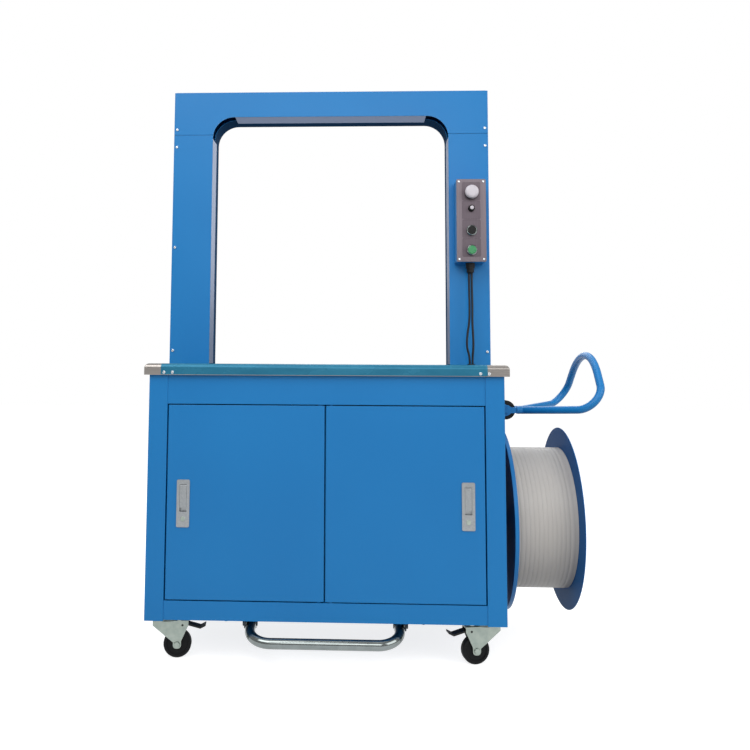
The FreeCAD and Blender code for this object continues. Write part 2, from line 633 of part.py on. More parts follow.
screws = []
for side in ("-", ""):
    for height in ("screw_z_one", "screw_z_two", "screw_z_three", "screw_z_four"):
        if side or height != "screw_z_three":
            screws.append(make_screw((side + "(arch_width/2 - screw_inset)", ARCH_FRONT, height)))
    for place in ("table_screw_near", "table_screw_far"):
        screws.append(make_screw((side + place, FRONT + " - table_front",
                                  "table_height - table_screw_down")))
node("cover_screws", group("cover_screws", screws))

# Control box
BOX_FACE = "(%s - box_depth)" % ARCH_FRONT
PLATE_FACE = "(%s - plate_sheet)" % BOX_FACE
CONTROLS = {"stop": "stop_z", "knob": "knob_z", "black": "black_z", "green": "green_z"}


def make_control_box():
    """The steel housing on the right post: four walls and a back, open behind its faceplate."""
    body = new_body("control_box")
    left, right = "box_x - box_width/2", "box_x + box_width/2"
    prism(body, "XZ_Plane", rectangle(left, right, "box_low", "box_low + box_height", "box_corner"),
          BOX_FACE, ARCH_FRONT)
    prism(body, "XZ_Plane", rectangle(left + " + steel", right + " - steel", "box_low + steel",
                                      "box_low + box_height - steel", "box_corner - steel"),
          BOX_FACE, ARCH_FRONT + " - steel", cut=True)
    return body


def make_faceplate():
    body = new_body("control_faceplate")
    left, right = "box_x - box_width/2", "box_x + box_width/2"
    prism(body, "XZ_Plane", rectangle(left, right, "box_low", "box_low + box_height", "box_corner"),
          PLATE_FACE, BOX_FACE)
    holes = [round_rod("button_hole", "Y", ("box_x", BOX_FACE, CONTROLS[name]), radius,
                       "-plate_sheet - overrun", "overrun")
             for name, radius in (("stop", "stem + loose"), ("knob", "knob_shaft + loose"),
                                  ("black", "stem + loose"), ("green", "stem + loose"))]
    return cut_from("control_faceplate", body, holes)


def make_bezel(height, ring, bore, tall):
    """A threaded ring round one button, seated on the faceplate."""
    body = new_body("bezel")
    turned(body, "Y", ("box_x", PLATE_FACE, height), [
        ("0", "stem + loose"), ("0", ring), ("-(%s - steel)" % tall, ring), (minus(tall), ring + " - steel"),
        (minus(tall), bore), ("-bezel_floor", bore), ("-bezel_floor", "stem + loose")])
    return body


def make_button(name, height):
    """A push button: a cap nearly flush with its ring, on a stem with room behind it to travel."""
    body = new_body(name)
    back = "-(bezel_floor + button_travel + loose)"
    face = "-(bezel_height + button_proud)"
    turned(body, "Y", ("box_x", PLATE_FACE, height), [
        ("plate_sheet + button_travel", "0"), ("plate_sheet + button_travel", "stem"), (back, "stem"),
        (back, "button"), (face + " + steel/2", "button"), (face, "button - steel"), (face, "0")])
    return body


def make_stop_button():
    """A mushroom-headed push button on its stem."""
    body = new_body("stop_button")
    start = "-(collar_height + mushroom_gap)"
    end = "-(collar_height + mushroom_gap + mushroom_height)"
    turned(body, "Y", ("box_x", PLATE_FACE, "stop_z"), [
        ("plate_sheet + button_travel", "0"), ("plate_sheet + button_travel", "stem"), (start, "stem"),
        (start, "mushroom - steel"), (start + " - steel", "mushroom"),
        (start + " - mushroom_height/2", "mushroom"), (end + " + steel", "mushroom*7/8"),
        (end, "mushroom*2/3"), (end, "0")])
    return body


def make_knob():
    """The tension knob: a black skirt on its shaft with a smaller cap."""
    body = new_body("tension_knob")
    turned(body, "Y", ("box_x", PLATE_FACE, "knob_z"), [
        ("plate_sheet + overrun", "0"), ("plate_sheet + overrun", "knob_shaft"),
        ("-loose", "knob_shaft"), ("-loose", "knob"), ("-knob_height/2", "knob - cap_step/2"),
        ("-knob_height + cap_step", "knob - cap_step"), ("-knob_height", "knob - cap_step - cap_step"),
        ("-knob_height", "0")])
    return body


node("control_box", make_control_box())
node("control_faceplate", make_faceplate())
node("button_bezels", group("button_bezels", [
    make_bezel("stop_z", "bezel", "stem + loose + steel", "collar_height"),
    make_bezel("black_z", "bezel", "button + loose", "bezel_height"),
    make_bezel("green_z", "bezel", "button + loose", "bezel_height")]))
node("stop_button", make_stop_button())
node("tension_knob", make_knob())
node("black_button", make_button("black_button", "black_z"))
node("green_button", make_button("green_button", "green_z"))


def make_glands():
    """The gland under the control box and the rubber grommet where the cables enter the table."""
    gland = new_body("box_gland")
    turned(gland, "Z", ("box_x", "cable_y", "box_low"), [
        ("0", "0"), ("0", "gland"), ("-gland_height/2", "gland"), ("-gland_height/2", "gland_dome"),
        ("-gland_height + overrun", "gland_dome"), ("-gland_height", "gland_dome - overrun"),
        ("-gland_height", "0")])
    grommet = new_body("table_grommet")
    turned(grommet, "Z", ("box_x", "cable_y", "table_height"), [
        ("0", "0"), ("0", "grommet"), ("grommet_height", "grommet - steel"), ("grommet_height", "0")])
    return group("cable_glands", [gland, grommet])


# Each control cable's route from the gland down to the grommet, in millimetres: sideways from the
# box's centre line, outwards from the cables' own plane, and the height above the grommet
BOWED_ROUTE = [(-4, 0, 268), (-4, 0, 218), (-3, -1, 171), (-4, -1, 126), (-11, -2, 86), (-13, -2, 50),
               (-4, 0, 20), (-4, 0, 0)]
STRAIGHT_ROUTE = [(4, 0, 268), (4, 0, 218), (5, -1, 171), (4, -2, 126), (6, -3, 86), (7, -3, 50),
                  (4, 0, 20), (4, 0, 0)]


def make_cable(name, route):
    """One free cable: straight runs joined by arcs as large as the runs allow."""
    points = [spot("box_x + (%s)" % x, "cable_y + (%s)" % y, "table_height + grommet_height + (%s)" % z)
              for x, y, z in route]
    bends = []
    for i in range(1, len(points) - 1):
        back, ahead = points[i - 1] - points[i], points[i + 1] - points[i]
        half_turn = (math.pi - back.getAngle(ahead)) / 2
        bends.append(number("bend_share") * min(back.Length, ahead.Length) / math.tan(half_turn))
    print(name, "least bend radius", round(min(bends)), "mm")
    return tube(name, points, bends, number("cable"))


node("cable_glands", make_glands())
node("control_cables", group("control_cables", [make_cable("bowed_cable", BOWED_ROUTE),
                                                make_cable("straight_cable", STRAIGHT_ROUTE)]))


def make_mains_gland():
    """The mains inlet gland on the rear panel: lock nut, threaded body, outer nut and open bore."""
    body = new_body("mains_gland")
    inner, outer = "-steel - steel", "-steel"
    turned(body, "Y", ("mains_x", BACK, "mains_z"), [
        (inner + " - mains_nut_height", "mains_bore"), (inner + " - mains_nut_height", "mains_nut"),
        (inner, "mains_nut"), (inner, "mains_body"), (outer, "mains_body"), (outer, "mains_nut"),
        (outer + " + mains_nut_height", "mains_nut"), (outer + " + mains_nut_height", "mains_body"),
        (inner + " - mains_nut_height + mains_length", "mains_body - steel"),
        (inner + " - mains_nut_height + mains_length", "mains_bore")])
    return body


node("mains_gland", make_mains_gland())

# Doors and their locks
DOOR_FACE = "(-cabinet_depth/2 + door_recess)"
DOOR_BACK = "(-cabinet_depth/2 + door_recess + door_thickness)"
DOOR_LOW = "(cabinet_base + base_lift + rail_height + door_gap)"
DOOR_TOP = "(cabinet_top - apron_height - door_gap)"
LATCH_FACE = "(-cabinet_depth/2 + door_recess - latch_lip)"
RECESS_TOP = "(latch_z + recess_up + recess_height/2)"
RECESS_LOW = "(latch_z + recess_up - recess_height/2)"
LEVER_Y = "(-cabinet_depth/2 + door_recess - latch_lip + loose + lever_thickness/2)"
LEVER_Z = "(latch_z + recess_up + recess_height/2 - loose - lever_thickness/2)"
BARREL_Z = "(latch_z - barrel_down)"
CAM_BACK = "(-cabinet_depth/2 + cam_back)"


def make_door(name, side):
    """A folded panel door on two pivot pins, cut out for its lock."""
    body = new_body(name)
    reach = lambda words: "%s*(%s)" % (side, words)
    prism(body, "XY_Plane", [
        (reach("seam"), DOOR_FACE, "door_edge"), (reach(JAMB + " - door_gap"), DOOR_FACE, "door_edge"),
        (reach(JAMB + " - door_gap"), DOOR_BACK), (reach("seam"), DOOR_BACK)], DOOR_LOW, DOOR_TOP)
    axis = (reach("hinge_inset"), HINGE_Y, "0")
    turned(body, "Z", axis, [
        (RAIL_TOP + " + loose - hinge_pin_length", "0"),
        (RAIL_TOP + " + loose - hinge_pin_length", "hinge_pin"),
        (RAIL_TOP + " + loose", "hinge_pin"), (RAIL_TOP + " + loose", "hinge_collar"),
        (DOOR_LOW, "hinge_collar"), (DOOR_LOW, "0")])
    turned(body, "Z", axis, [
        (DOOR_TOP, "0"), (DOOR_TOP, "hinge_pin"), (DOOR_TOP + " + hinge_pin_length", "hinge_pin"),
        (DOOR_TOP + " + hinge_pin_length", "0")])
    wide, high = "(pan_width/2 + loose)", "(pan_height/2 + loose)"
    prism(body, "XZ_Plane", rectangle(reach("latch_x - " + wide), reach("latch_x + " + wide),
                                      "latch_z - " + high, "latch_z + " + high),
          DOOR_FACE + " - overrun", DOOR_FACE + " + pan_depth + loose", cut=True)
    hole = round_rod("barrel_hole", "Y", (reach("latch_x"), DOOR_BACK, BARREL_Z), "barrel + loose",
                     "-door_thickness - overrun", "overrun")
    return cut_from(name, body, [hole])


def make_latch_plate(name, side):
    """The zinc lock plate: a thin rim on the door and a pan sunk in it, with the lever's recess."""
    body = new_body(name)
    middle = "%s*latch_x" % side
    prism(body, "XZ_Plane", rectangle(
        middle + " - latch_width/2", middle + " + latch_width/2", "latch_z - latch_height/2",
        "latch_z + latch_height/2", "latch_corner"), LATCH_FACE, DOOR_FACE)
    prism(body, "XZ_Plane", rectangle(
        middle + " - pan_width/2", middle + " + pan_width/2", "latch_z - pan_height/2",
        "latch_z + pan_height/2"), DOOR_FACE, DOOR_FACE + " + pan_depth")
    prism(body, "XZ_Plane", rectangle(
        middle + " - recess_width/2", middle + " + recess_width/2", RECESS_LOW, RECESS_TOP, "steel/2"),
        LATCH_FACE, LATCH_FACE + " + recess_depth", cut=True)
    holes = [round_rod("barrel_bore", "Y", (middle, DOOR_FACE, BARREL_Z), "barrel + slip",
                       "-latch_lip - overrun", "pan_depth + overrun"),
             round_rod("lever_bore", "X", (middle, LEVER_Y, LEVER_Z), "lever_pin + slip",
                       "-pan_width/2 - overrun", "pan_width/2 + overrun")]
    return cut_from(name, body, holes)


def make_latch_lever(name, side):
    """The pull lever in the lock's recess, hung on a pin through its round upper end."""
    body = new_body(name)
    middle = "%s*latch_x" % side
    half = "lever_thickness/2"
    prism(body, "YZ_Plane", [
        (LEVER_Y + " - " + half, RECESS_LOW + " + lever_grip"),
        (LEVER_Y + " + " + half, RECESS_LOW + " + lever_grip + " + half),
        (LEVER_Y + " + " + half, LEVER_Z + " + " + half, half + " - loose"),
        (LEVER_Y + " - " + half, LEVER_Z + " + " + half, half + " - loose")],
        middle + " - lever_width/2", middle + " + lever_width/2")
    turned(body, "X", (middle, LEVER_Y, LEVER_Z), [
        ("-pan_width/2", "0"), ("-pan_width/2", "lever_pin"), ("pan_width/2", "lever_pin"),
        ("pan_width/2", "0")])
    return body


def make_lock_cam(name, side):
    """The key barrel with the cam on its back end, stored turned up and clear of the door jamb."""
    body = new_body(name)
    middle = "%s*latch_x" % side
    turned(body, "Y", (middle, "0", BARREL_Z), [
        (LATCH_FACE + " - steel/2", "0"), (LATCH_FACE + " - steel/2", "barrel - steel/2"),
        (LATCH_FACE, "barrel"), (CAM_BACK, "barrel"), (CAM_BACK, "0")])
    prism(body, "XZ_Plane", rectangle(
        middle + " - cam_width/2", middle + " + cam_width/2", BARREL_Z + " - cam_width/2",
        BARREL_Z + " + cam_length"), CAM_BACK + " - cam_sheet", CAM_BACK)
    return body


for hand, side in (("left", "-1"), ("right", "1")):
    node(hand + "_door", make_door(hand + "_door", side))
    node(hand + "_latch_plate", make_latch_plate(hand + "_latch_plate", side))
    node(hand + "_latch_lever", make_latch_lever(hand + "_latch_lever", side))
    node(hand + "_lock_cam", make_lock_cam(hand + "_lock_cam", side))

# Castors, each built about its kingpin and then stood at its corner
RACE_LOW = "(cabinet_base + base_lift - castor_plate_sheet - race_height)"
FORK_TOP = "(cabinet_base + base_lift - castor_plate_sheet - race_height - fork_neck)"
CASTORS = {"front_left": ("-castor_x", "-castor_y"), "front_right": ("castor_x", "-castor_y"),
           "rear_left": ("-castor_x", "castor_y"), "rear_right": ("castor_x", "castor_y")}


def make_castor_plate(place):
    """A castor's fixing plate with its ball race and kingpin."""
    body = new_body("castor_plate")
    prism(body, "XY_Plane", rectangle("-castor_plate_length/2", "castor_plate_length/2",
                                      "-castor_plate_width/2", "castor_plate_width/2", "race_height"),
          RAIL_LOW + " - castor_plate_sheet", RAIL_LOW)
    end = FORK_TOP + " - fork_roof - loose"
    turned(body, "Z", ("0", "0", "0"), [
        (RAIL_LOW + " - castor_plate_sheet", "0"), (RAIL_LOW + " - castor_plate_sheet", "race"),
        (RACE_LOW, "race"), (RACE_LOW, "kingpin"), (end, "kingpin"), (end, "kingpin_nut"),
        (end + " - kingpin_nut_height", "kingpin_nut"), (end + " - kingpin_nut_height", "0")])
    return stand(body, CASTORS[place][0], CASTORS[place][1], "0")


def make_castor_fork(place, braked):
    """The pressed fork: a roof under the race and two legs that taper down to the axle."""
    body = new_body("castor_fork_" + place)
    half, low = "fork_width/2", "wheel - fork_boss"
    prism(body, "XZ_Plane", [
        ("-fork_back", FORK_TOP), ("-fork_back", FORK_TOP + " - fork_skirt"),
        ("trail - fork_boss", "wheel + fork_boss/2"), ("trail - fork_boss", low, "fork_boss - steel"),
        ("trail + fork_boss", low, "fork_boss - steel"), ("trail + fork_boss", "fork_waist"),
        ("fork_front", FORK_TOP + " - fork_skirt"), ("fork_front", FORK_TOP)], minus(half), half)
    prism(body, "XZ_Plane", rectangle("-fork_back - overrun", "fork_front + overrun", low + " - overrun",
                                      FORK_TOP + " - fork_roof"), "-fork_gap/2", "fork_gap/2", cut=True)
    turned(body, "Z", ("0", "0", "0"), [
        (FORK_TOP, "0"), (FORK_TOP, "fork_head"), (RACE_LOW + " - loose", "fork_head - steel"),
        (RACE_LOW + " - loose", "0")])
    turned(body, "Z", ("0", "0", "0"), [
        (FORK_TOP + " - fork_roof - overrun", "0"), (FORK_TOP + " - fork_roof - overrun", "kingpin + slip"),
        (RACE_LOW + " + overrun", "kingpin + slip"), (RACE_LOW + " + overrun", "0")], cut=True)
    holes = [("trail", "wheel", "axle + slip")]
    if braked:
        holes.append(("pedal_pivot_x", "pedal_pivot_z", "pedal_pin + slip"))
    for x, z, radius in holes:
        turned(body, "Y", (x, "0", z), [
            ("-fork_width/2 - overrun", "0"), ("-fork_width/2 - overrun", radius),
            ("fork_width/2 + overrun", radius), ("fork_width/2 + overrun", "0")], cut=True)
    axle = new_body("castor_axle")
    end = "fork_width/2 + axle_head_height"
    turned(axle, "Y", ("trail", "0", "wheel"), [
        (minus("(" + end + ")"), "0"), (minus("(" + end + ")"), "axle_head - steel/2"),
        ("-fork_width/2 - steel/2", "axle_head"), ("-fork_width/2", "axle_head"), ("-fork_width/2", "axle"),
        ("fork_width/2", "axle"), ("fork_width/2", "axle_head"), ("fork_width/2 + steel/2", "axle_head"),
        (end, "axle_head - steel/2"), (end, "0")])
    turn = "turn_" + place
    pieces = [stand(piece, CASTORS[place][0], CASTORS[place][1], "0", turn) for piece in (body, axle)]
    return group("castor_fork_" + place, pieces)


def make_castor_wheel(place):
    """A moulded wheel with a round-shouldered tyre and dished sides."""
    body = new_body("castor_wheel_" + place)
    edge, dish, hub = "wheel_width/2", "(wheel_width/2 - wheel_dish)", "hub_width/2"
    turned(body, "Y", ("trail", "0", "wheel"), [
        (minus(hub), "axle + slip"), (minus(hub), "hub"), (minus(dish), "hub"),
        (minus(dish), "wheel - tyre_depth"), (minus(edge), "wheel - tyre_depth"),
        (minus(edge), "wheel - wheel_round"), ("-(wheel_width/2 - wheel_round/3)", "wheel - wheel_round/3"),
        ("-(wheel_width/2 - wheel_round)", "wheel"), ("wheel_width/2 - wheel_round", "wheel"),
        ("wheel_width/2 - wheel_round/3", "wheel - wheel_round/3"), (edge, "wheel - wheel_round"),
        (edge, "wheel - tyre_depth"), (dish, "wheel - tyre_depth"), (dish, "hub"), (hub, "hub"),
        (hub, "axle + slip")])
    return stand(body, CASTORS[place][0], CASTORS[place][1], "0", "turn_" + place)


def make_brake_pedal(place):
    """The brake tab between a front fork's legs, with its foot end turned up."""
    body = new_body("brake_pedal_" + place)
    top, tip = "pedal_pivot_z + pedal_sheet/2", "pedal_reach"
    prism(body, "XZ_Plane", [
        ("pedal_pivot_x - pedal_heel", top), ("pedal_pivot_x - pedal_heel", top + " - pedal_sheet"),
        ("fork_front", top + " - pedal_sheet"), (tip + " - pedal_toe", top + " - pedal_drop - pedal_sheet"),
        (tip, top + " - pedal_drop - pedal_sheet + pedal_tip"), (tip, top + " - pedal_drop + pedal_tip"),
        (tip + " - pedal_toe", top + " - pedal_drop"), ("fork_front", top)],
        "-pedal_width/2", "pedal_width/2")
    turned(body, "Y", ("pedal_pivot_x", "0", "pedal_pivot_z"), [
        ("-fork_width/2", "0"), ("-fork_width/2", "pedal_pin"), ("fork_width/2", "pedal_pin"),
        ("fork_width/2", "0")])
    return stand(body, CASTORS[place][0], CASTORS[place][1], "0", "turn_" + place)


node("castor_plates", group("castor_plates", [make_castor_plate(place) for place in CASTORS]))
for place in CASTORS:
    node("castor_fork_" + place, make_castor_fork(place, place.startswith("front")))
    node("castor_wheel_" + place, make_castor_wheel(place))
for place in ("front_left", "front_right"):
    node("brake_pedal_" + place, make_brake_pedal(place))

# Foot bar
FOOT_SIDE = "foot_span/2"
EAR_IN = "(foot_span/2 + foot_eye_width/2 + seam/2)"
EAR_OUT = "(foot_span/2 + foot_eye_width/2 + seam/2 + foot_ear)"


def make_foot_bar():
    """The bent tube that the operator treads on, with an eye on each arm for its pivot."""
    far, near = ("foot_y", "foot_z"), ("foot_pivot_y", "foot_pivot_z")
    route = [spot(side + FOOT_SIDE, y, z) for side, (y, z) in (("-", near), ("-", far), ("", far), ("", near))]
    bar = tube("foot_tube_bar", route, [number("foot_bend")] * 2, number("foot_tube"))
    eyes, holes = [], []
    for side in ("-", ""):
        centre = (side + FOOT_SIDE, "foot_pivot_y", "foot_pivot_z")
        eyes.append(round_rod("foot_eye", "X", centre, "foot_eye", "-foot_eye_width/2", "foot_eye_width/2"))
        holes.append(round_rod("foot_bore", "X", centre, "foot_pin + slip", "-foot_eye_width",
                               "foot_eye_width"))
    return cut_from("foot_bar", joined("foot_bar", [bar] + eyes), holes)


def make_foot_bracket(side):
    """A folded bracket under the base with the shoulder pin that carries one arm's eye."""
    reach = lambda words: "%s*(%s)" % (side, words)
    body = new_body("foot_bracket")
    half = "foot_ear_width/2"
    low = "foot_pivot_z - foot_ear_round"
    prism(body, "YZ_Plane", [
        ("foot_pivot_y - " + half, RAIL_LOW), ("foot_pivot_y - " + half, low, "foot_ear_round - steel"),
        ("foot_pivot_y + " + half, low, "foot_ear_round - steel"), ("foot_pivot_y + " + half, RAIL_LOW)],
        *sorted((reach(EAR_IN), reach(EAR_OUT)), key=number))
    prism(body, "XY_Plane", rectangle(reach(EAR_OUT), reach(EAR_OUT + " + foot_ear_width"),
                                      "foot_pivot_y - " + half, "foot_pivot_y + " + half),
          RAIL_LOW + " - foot_ear", RAIL_LOW)
    turned(body, "X", ("0", "foot_pivot_y", "foot_pivot_z"), [
        (reach(EAR_IN + " - overrun"), "0"), (reach(EAR_IN + " - overrun"), "foot_pin + slip"),
        (reach(EAR_OUT + " + overrun"), "foot_pin + slip"), (reach(EAR_OUT + " + overrun"), "0")], cut=True)
    pin = new_body("foot_pin")
    end = EAR_OUT + " + foot_pin_head_height"
    inner = "foot_span/2 - foot_eye_width/2 - loose"
    turned(pin, "X", ("0", "foot_pivot_y", "foot_pivot_z"), [
        (reach(end), "0"), (reach(end), "foot_pin_head"), (reach(EAR_OUT), "foot_pin_head"),
        (reach(EAR_OUT), "foot_pin"), (reach(inner), "foot_pin"), (reach(inner), "foot_pin_head"),
        (reach(inner + " - steel"), "foot_pin_head"), (reach(inner + " - steel"), "0")])
    return [body, pin]


node("foot_bar", make_foot_bar())
node("foot_bar_brackets", group("foot_bar_brackets", make_foot_bracket("-1") + make_foot_bracket("1")))

# Reel
REEL_AXIS = ("0", "reel_y", "reel_z")
REEL_END = "(reel_start + reel_width)"
NUT_START = "(reel_start + reel_width + flange_sheet)"


def make_inner_flange():
    """The inner reel flange with its turned rim, drum and hub in one welded piece."""
    body = new_body("reel_flange_inner")
    back, rim = "(reel_start - flange_sheet)", "(reel_start - rim_width)"
    turned(body, "X", REEL_AXIS, [
        (rim, "spindle + slip"), (rim, "reel_hub"), (back, "reel_hub"), (back, "flange - rim_sheet"),
        (rim, "flange - rim_sheet"), (rim, "flange"), ("reel_start", "flange"), ("reel_start", "drum"),
        (REEL_END + " - coil_gap", "drum"), (REEL_END + " - coil_gap", "drum - drum_wall"),
        ("reel_start", "drum - drum_wall"), ("reel_start", "reel_hub"), (REEL_END, "reel_hub"),
        (REEL_END, "spindle + slip")])
    return body


def make_outer_flange():
    """The removable outer flange: a sheet with a rounded edge, stiffened by a pressed ring."""
    body = new_body("reel_flange_outer")
    low, high = "(rib_radius - rib_width/2)", "(rib_radius + rib_width/2)"
    crest = NUT_START + " + rib_height"
    turned(body, "X", REEL_AXIS, [
        (REEL_END, "spindle + slip"), (REEL_END, "flange - flange_sheet/2"),
        (REEL_END + " + flange_sheet/2", "flange"), (NUT_START, "flange - flange_sheet/2"),
        (NUT_START, high), (crest, high + " - rib_height/2"), (crest, low + " + rib_height/2"),
        (NUT_START, low), (NUT_START, "spindle + slip")])
    return body


def winding_path(start, advance, radius):
    """The strap's middle line: turns about the reel's axis, each of four quarter-turn biarcs."""
    centre = spot(*REEL_AXIS)
    quarters = int(4 * number("strap_turns"))
    slope = advance / quarters / (math.pi / 2 * radius)

    def place(i):
        turn = math.pi / 2 * i + math.pi / 4
        along = start + advance * i / quarters
        return centre + VECTOR(along, radius * math.cos(turn), radius * math.sin(turn))

    def heading(i):
        turn = math.pi / 2 * i + math.pi / 4
        return VECTOR(slope, -math.sin(turn), math.cos(turn)).normalize()

    edges = []
    for i in range(quarters):
        first, last, out, back = place(i), place(i + 1), heading(i), heading(i + 1)
        chord, both = last - first, out + back
        bend = 2 * (1 - out.dot(back))
        reach = (math.sqrt(chord.dot(both) ** 2 + bend * chord.dot(chord)) - chord.dot(both)) / bend
        one, two = first + out * reach, last - back * reach
        middle = (one + two) / 2
        for near, corner, far in ((first, one, middle), (middle, two, last)):
            arms = (near - corner).normalize() + (far - corner).normalize()
            half = (near - corner).getAngle(far - corner) / 2
            turn_radius = reach * math.tan(half)
            hub = corner + arms.normalize() * (turn_radius / math.sin(half))
            crown = hub + (corner - hub).normalize() * turn_radius
            edges.append(Part.Arc(near, crown, far).toShape())
    return Part.Wire(edges)


def make_strap_coil():
    """The wound strap: its outer layer is one unbroken flat band laid in turns on a plain core."""
    core = new_body("coil_core")
    sunk = "(coil - strap_sheet + strap_bed)"
    turned(core, "X", REEL_AXIS, [
        ("reel_start + coil_gap", "drum + coil_gap"), ("reel_start + coil_gap", sunk),
        (REEL_END + " - coil_gap", sunk), (REEL_END + " - coil_gap", "drum + coil_gap")])
    width, thickness = number("strap_width"), number("strap_sheet")
    start = number("reel_start + coil_gap + strap_width/2")
    advance = number("reel_width - coil_gap - coil_gap - strap_width")
    path = winding_path(start, advance, number("coil - strap_sheet/2"))
    per_turn = int(number("beads_per_turn"))
    count = int(number("strap_turns")) * per_turn + 1
    beads = path.discretize(Number=count)
    least = min(beads[i].distanceToPoint(beads[i + per_turn]) for i in range(count - per_turn)) - width
    print("strap winding, least gap to itself", round(least, 2), "mm")
    if least <= number("coil_gap"):
        raise RuntimeError("the strap's turns are too close")
    across = VECTOR(width / 2, 0, 0)
    outward = (beads[0] - spot(*REEL_AXIS)).projectToPlane(VECTOR(), VECTOR(1, 0, 0)).normalize()
    outward = outward * (thickness / 2)
    corners = [beads[0] - across - outward, beads[0] + across - outward, beads[0] + across + outward,
               beads[0] - across + outward]
    sweep = Part.BRepOffsetAPI.MakePipeShell(path)
    sweep.setBiNormalMode(VECTOR(1, 0, 0))
    sweep.add(Part.makePolygon(corners + corners[:1]))
    sweep.build()
    sweep.makeSolid()
    band = doc.addObject("Part::Feature", "strap_band")
    band.Shape = sweep.shape()
    coil = doc.addObject("Part::Fuse", "strap_coil_joined")
    coil.Base = core
    coil.Tool = band
    coil.Refine = False
    return coil


def make_reel_nut():
    """The lobed hand nut that holds the reel together."""
    body = new_body("reel_nut")
    end = NUT_START + " + nut_height"
    turned(body, "X", REEL_AXIS, [
        (NUT_START, "spindle + slip"), (NUT_START, "nut"), (end + " - steel", "nut"),
        (end, "nut - steel"), (end, "spindle + slip")])
    scallops = []
    for i in range(int(number("nut_lobes"))):
        angle = "(%d*360/nut_lobes)" % i
        place = ("0", "reel_y + (nut + nut_lobe/2)*cos(%s)" % angle, "reel_z + (nut + nut_lobe/2)*sin(%s)" % angle)
        scallops.append(round_rod("scallop", "X", place, "nut_lobe", NUT_START + " - overrun",
                                  end + " + overrun"))
    return cut_from("reel_nut", body, scallops)


def make_spindle():
    """The fixed stub shaft, flanged to the cabinet's right side, with its end collar."""
    body = new_body("reel_spindle")
    tail = NUT_START + " + nut_height + loose"
    turned(body, "X", REEL_AXIS, [
        (HALF_WIDTH, "0"), (HALF_WIDTH, "spindle_flange"), (HALF_WIDTH + " + spindle_plate", "spindle_flange"),
        (HALF_WIDTH + " + spindle_plate", "spindle_boss"), ("reel_start - rim_width - loose", "spindle_boss"),
        ("reel_start - rim_width - loose", "spindle"), (tail, "spindle"), (tail, "reel_hub"),
        (tail + " + spindle_plate", "reel_hub"), (tail + " + spindle_plate", "0")])
    return body


node("reel_flange_inner", make_inner_flange())
node("reel_flange_outer", make_outer_flange())
node("strap_coil", make_strap_coil())
node("reel_nut", make_reel_nut())
node("reel_spindle", make_spindle())

# Strap arm
ARM_AXIS = ("arm_x", "arch_y", "arm_z")


def make_reel_arm():
    """The bent bow over the reel: flat lugs, arms that spread to the sides, and a round crown."""
    half = [("arm_lug", "arm_near", "0"), ("arm_neck", "arm_near", "0"), ("arm_out", "arm_side", "arm_lift")]
    route = [spot("arm_x + " + x, "arch_y - " + y, "arm_z + " + z) for x, y, z in half]
    route.append(spot("arm_x + arm_reach", "arch_y", "arm_z + arm_rise"))
    route += [spot("arm_x + " + x, "arch_y + " + y, "arm_z + " + z) for x, y, z in reversed(half)]
    bends = [number(bend) for bend in ("arm_bend_near", "arm_bend", "arm_crown", "arm_bend", "arm_bend_near")]
    bow = tube("arm_bow", route, bends, number("arm_tube"))
    pieces = [bow]
    for low, high in (("-arm_near - arm_eye_width/2", "-arm_near + arm_eye_width/2"),
                      ("arm_near - arm_eye_width/2", "arm_near + arm_eye_width/2")):
        pieces.append(round_rod("arm_eye", "Y", ARM_AXIS, "arm_eye", low, high))
        pieces.append(block("arm_flat", "arm_x", "arm_x + arm_lug + arm_tube/2", "arch_y + " + low,
                            "arch_y + " + high, "arm_z - arm_tube*0.8", "arm_z + arm_tube*0.8"))
    hole = round_rod("arm_bore", "Y", ARM_AXIS, "pin + slip", "-arm_near*2", "arm_near*2")
    return cut_from("reel_arm", joined("reel_arm", pieces), [hole])


def make_guide_roller():
    """The black roller on the arm's own pin, with a shallow groove for the strap."""
    body = new_body("guide_roller")
    half = "roller_width/2"
    turned(body, "Y", ARM_AXIS, [
        (minus(half), "pin + slip"), (minus(half), "roller"), ("-roller_width/4", "roller - roller_groove"),
        ("roller_width/4", "roller - roller_groove"), (half, "roller"), (half, "pin + slip")])
    return body


def make_arm_bracket():
    """The bracket on the cabinet's side: a plate, two ears and the pin through arm and roller."""
    ear = "(arm_near + arm_eye_width/2 + arm_ear_clear)"
    plate_end = HALF_WIDTH + " + arm_plate_sheet"
    bracket = new_body("arm_ears")
    prism(bracket, "YZ_Plane", rectangle(
        "arch_y - arm_plate_height/2", "arch_y + arm_plate_height/2", "arm_z - arm_plate_height/2",
        "arm_z + arm_plate_height/2", "arm_ear"), HALF_WIDTH, plate_end)
    for low, high in (("arch_y - %s - arm_ear" % ear, "arch_y - " + ear),
                      ("arch_y + " + ear, "arch_y + %s + arm_ear" % ear)):
        prism(bracket, "XZ_Plane", [
            (plate_end, "arm_z - arm_plate_height/2 + arm_ear_round"),
            ("arm_x + arm_ear_round", "arm_z - arm_ear_round", "arm_ear_round - steel"),
            ("arm_x + arm_ear_round", "arm_z + arm_ear_round", "arm_ear_round - steel"),
            (plate_end, "arm_z + arm_plate_height/2 - arm_ear_round")], low, high)
    reach = ear + " + arm_ear"
    turned(bracket, "Y", ARM_AXIS, [
        ("-(%s + overrun)" % reach, "0"), ("-(%s + overrun)" % reach, "pin + slip"),
        (reach + " + overrun", "pin + slip"), (reach + " + overrun", "0")], cut=True)
    pin = new_body("arm_pin")
    end = "(%s + pin_head_height)" % reach
    turned(pin, "Y", ARM_AXIS, [
        (minus(end), "0"), (minus(end), "pin_head"), ("-(%s)" % reach, "pin_head"), ("-(%s)" % reach, "pin"),
        (reach, "pin"), (reach, "pin_head"), (end, "pin_head"), (end, "0")])
    return group("arm_bracket", [bracket, pin])


